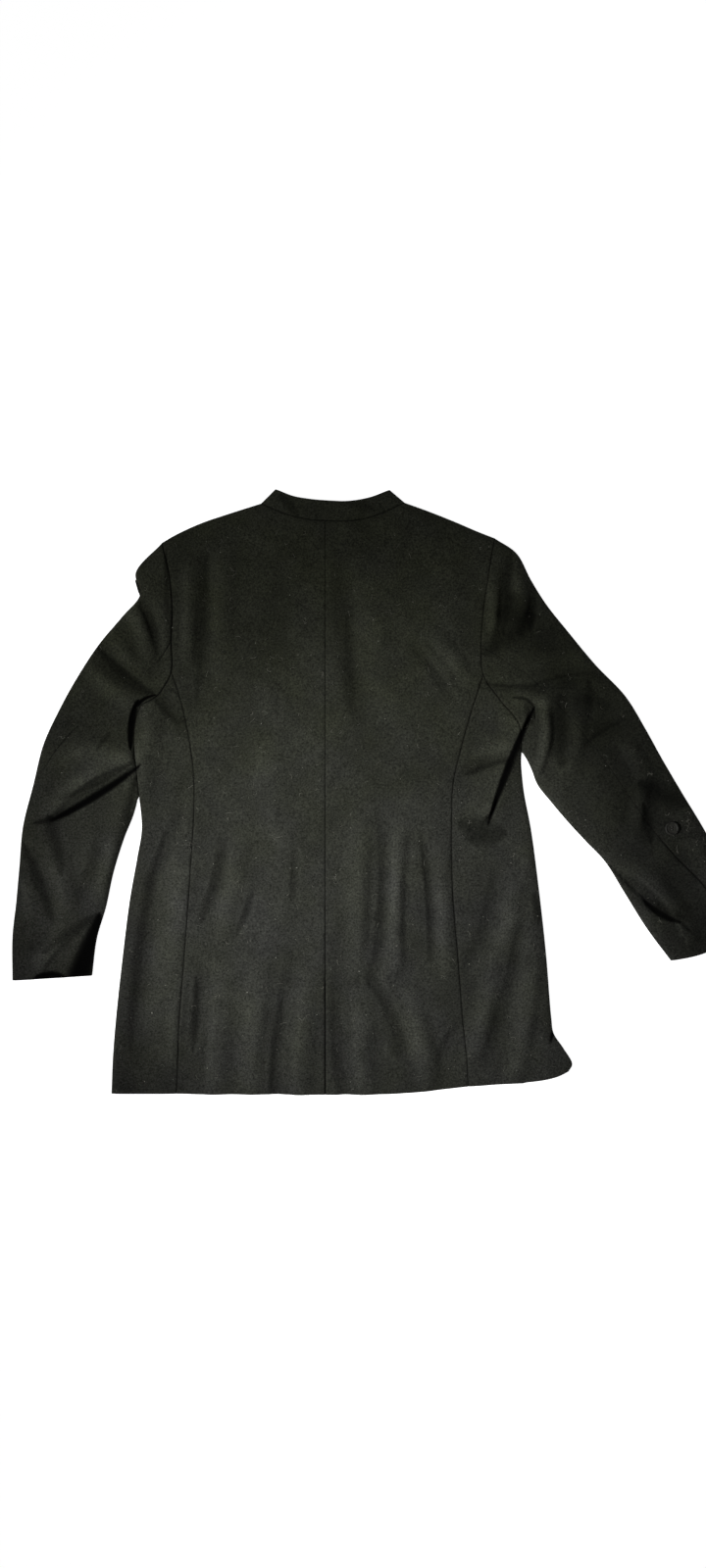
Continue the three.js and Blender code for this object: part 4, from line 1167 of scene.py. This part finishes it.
def wool_material():
    """Milled wool: a colour that is greyer lower down and in patches, darker and lighter by the painted light
    and shade of the mesh's tone, with pale specks and a twill.
    """
    made, tree, shader = new_material("wool")
    place = node(tree, "TexCoord").outputs["Object"]

    def noise(scale, detail=2.0, roughness=0.5):
        return node(tree, "TexNoise", Vector=place, Scale=scale, Detail=detail, Roughness=roughness).outputs

    def calculate(operation, a, b):
        return node(tree, "Math", {"operation": operation}, _0=a, _1=b).outputs[0]

    def remap(value, low, high, to_low, to_high):
        return node(tree, "MapRange", Value=value, From_Min=low, From_Max=high, To_Min=to_low,
                    To_Max=to_high).outputs["Result"]

    def mix(factor, a, b, blend="MIX"):
        return node(tree, "Mix", {"data_type": "RGBA", "blend_type": blend}, Factor=factor, _6=a,
                    _7=b).outputs[2]

    broad = remap(noise(7)["Fac"], 0.3, 0.7, 0.86, 1.14)
    patchy = remap(noise(45, 3, 0.6)["Fac"], 0.3, 0.7, 0.9, 1.1)
    speckle = remap(noise(430, 3, 0.75)["Fac"], 0.3, 0.7, 0.28, 1.75)
    # the mesh's tone: painted light and shade, multiplied into the cloth's random tone
    painted_shading = node(tree, "Attribute", {"attribute_name": "tone"}).outputs["Fac"]
    tone = calculate("MULTIPLY", calculate("MULTIPLY", broad, patchy), calculate("MULTIPLY", speckle, painted_shading))
    grey = node(tree, "CombineColor", _0=tone, _1=tone, _2=tone).outputs[0]
    # the cloth's colour turns from olive to greyer lower down, and in patches
    lower = remap(node(tree, "SeparateXYZ", _0=place).outputs["Y"], 0.2, -0.15, 0, 0.6)
    olive_to_grey = mix(calculate("ADD", lower, remap(noise(16)["Fac"], 0.35, 0.65, 0, 0.4)),
              (0.0238, 0.0256, 0.0168, 1), (0.0243, 0.0247, 0.0222, 1))

    torn = node(tree, "VectorMath", {"operation": "MULTIPLY_ADD"}, _0=noise(1500, 1.0)["Color"],
                _1=(0.0014, 0.0014, 0.0014), _2=place).outputs[0]
    cells = node(tree, "TexVoronoi", Vector=torn, Scale=110.0).outputs
    chosen = node(tree, "SeparateColor", _0=cells["Color"]).outputs
    small = calculate("LESS_THAN", cells["Distance"], remap(chosen[1], 0, 1, 0.03, 0.075))
    specks = calculate("MULTIPLY", calculate("GREATER_THAN", chosen[0], 0.7), small)

    cut = node(tree, "UVMap", {"uv_map": "cut"}).outputs["UV"]
    twill = node(tree, "TexWave", {"wave_type": "BANDS", "bands_direction": "DIAGONAL"}, Vector=cut,
                 Scale=330.0, Distortion=2.0, Detail=2.0, Detail_Scale=3.0).outputs["Fac"]
    hairs = calculate("ADD", calculate("MULTIPLY", noise(1400, 2, 0.7)["Fac"], 0.5),
                      calculate("MULTIPLY", noise(260, 3, 0.6)["Fac"], 0.7))
    relief = calculate("ADD", calculate("MULTIPLY", twill, 0.25), hairs)
    fill(shader, Base_Color=mix(specks, mix(1.0, olive_to_grey, grey, "MULTIPLY"), (0.2, 0.2, 0.17, 1)),
         Roughness=0.9, Specular_IOR_Level=0.035, Sheen_Weight=0.02, Sheen_Roughness=0.55,
         Sheen_Tint=(0.8, 0.82, 0.8, 1),
         Normal=node(tree, "Bump", Strength=0.5, Distance=0.0005, Height=relief).outputs[0])
    return made


def mottled_material(name, dark, light, scale, roughness, relief, gloss):
    """Two colours mixed by noise, with a roughness that varies and a fine relief."""
    made, tree, shader = new_material(name)
    place = node(tree, "TexCoord").outputs["Object"]
    noise = node(tree, "TexNoise", Vector=place, Scale=scale, Detail=4.0, Distortion=0.6).outputs["Fac"]
    ramp = node(tree, "ValToRGB", Fac=noise)
    for stop, part, colour in zip(ramp.color_ramp.elements, (0.35, 0.65), (dark, light)):
        stop.position, stop.color = part, (*colour, 1)
    rough = node(tree, "MapRange", Value=noise, To_Min=roughness - 0.12, To_Max=roughness + 0.12)
    fine = node(tree, "TexNoise", Vector=place, Scale=scale * 6, Detail=3.0)
    bump = node(tree, "Bump", Strength=relief, Distance=0.0002, Height=fine.outputs["Fac"])
    fill(shader, Base_Color=ramp.outputs["Color"], Roughness=rough.outputs["Result"],
         Specular_IOR_Level=gloss, Normal=bump.outputs[0])
    return made


horn = mottled_material("horn", (0.009, 0.009, 0.0072), (0.022, 0.022, 0.0175), 260, 0.6, 0.2, 0.28)
yarn = mottled_material("yarn", (0.03, 0.03, 0.026), (0.085, 0.083, 0.072), 1500, 0.75, 0.6, 0.2)
fluff = mottled_material("fluff", (0.07, 0.07, 0.058), (0.24, 0.235, 0.2), 90, 0.85, 0.4, 0.1)
for piece, look, slot in ((button, horn, "button"), (thread, yarn, "button"), (lint, fluff, "wool")):
    piece.data.materials.append(look)
    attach(piece, "root")
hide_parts("sleeve_button_right")

wool = wool_material()
for name, piece in pieces.items():
    piece.data.materials.append(wool)
    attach(piece, "root")
    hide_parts(name)


# ---- Floor, light and camera ----
floor_mesh = bpy.data.meshes.new("floor")
floor_mesh.from_pydata([(-6, -6, 0), (6, -6, 0), (6, 6, 0), (-6, 6, 0)], [], [(0, 1, 2, 3)])
floor = shown("floor", floor_mesh)
floor_material, _, floor_shader = new_material("floor")
fill(floor_shader, Base_Color=(0.86, 0.86, 0.86, 1), Roughness=0.9, Emission_Color=(1, 1, 1, 1),
     Emission_Strength=0.9)
floor_mesh.materials.append(floor_material)
floor.location.z = -0.0005

AMBIENT = 0.08  # light from all round
BACKGROUND = 0.85  # how bright it looks past the floor
scene = bpy.context.scene
scene.view_settings.view_transform = "Standard"
world = bpy.data.worlds.new("studio")
world.use_nodes = True
camera_ray = node(world.node_tree, "LightPath").outputs["Is Camera Ray"]
strength = node(world.node_tree, "MapRange", Value=camera_ray, To_Min=AMBIENT, To_Max=BACKGROUND)
fill(world.node_tree.nodes["Background"], Color=(1, 1, 1, 1), Strength=strength.outputs["Result"])
scene.world = world


def lamp(kind, name, place, target, **settings):
    """A light that the camera doesn't see."""
    made = shown(name, bpy.data.lights.new(name, kind))
    for key, value in settings.items():
        setattr(made.data, key, value)
    made.location = place
    made.rotation_euler = (Vector(target) - Vector(place)).to_track_quat("-Z", "Y").to_euler()
    made.visible_camera = False


lamp("SPOT", "key", (-1.0, -0.3, 1.15), (0, -0.14, 0), energy=106, spot_size=math.radians(34),
     spot_blend=1, shadow_soft_size=0.1)
lamp("SPOT", "side", (-1.15, -0.2, 1.1), (0, 0.14, 0), energy=43, spot_size=math.radians(58),
     spot_blend=1, shadow_soft_size=0.12)
lamp("AREA", "fill", (0.1, -0.1, 2.2), (0, -0.1, 0), energy=3, shape="DISK", size=1.2)

MM_PER_PIXEL = 1.3
PIXELS_HIGH = 1600
SENSOR = 36.0
CAMERA_PLACE = (-0.0364, 0.00975, 1.6)
camera_data = bpy.data.cameras.new("camera")
camera_data.sensor_fit = "VERTICAL"
camera_data.sensor_height = SENSOR
camera_data.lens = SENSOR * CAMERA_PLACE[2] / (PIXELS_HIGH * MM_PER_PIXEL * MM)
camera = shown("camera", camera_data)
camera.location = CAMERA_PLACE
scene.camera = camera
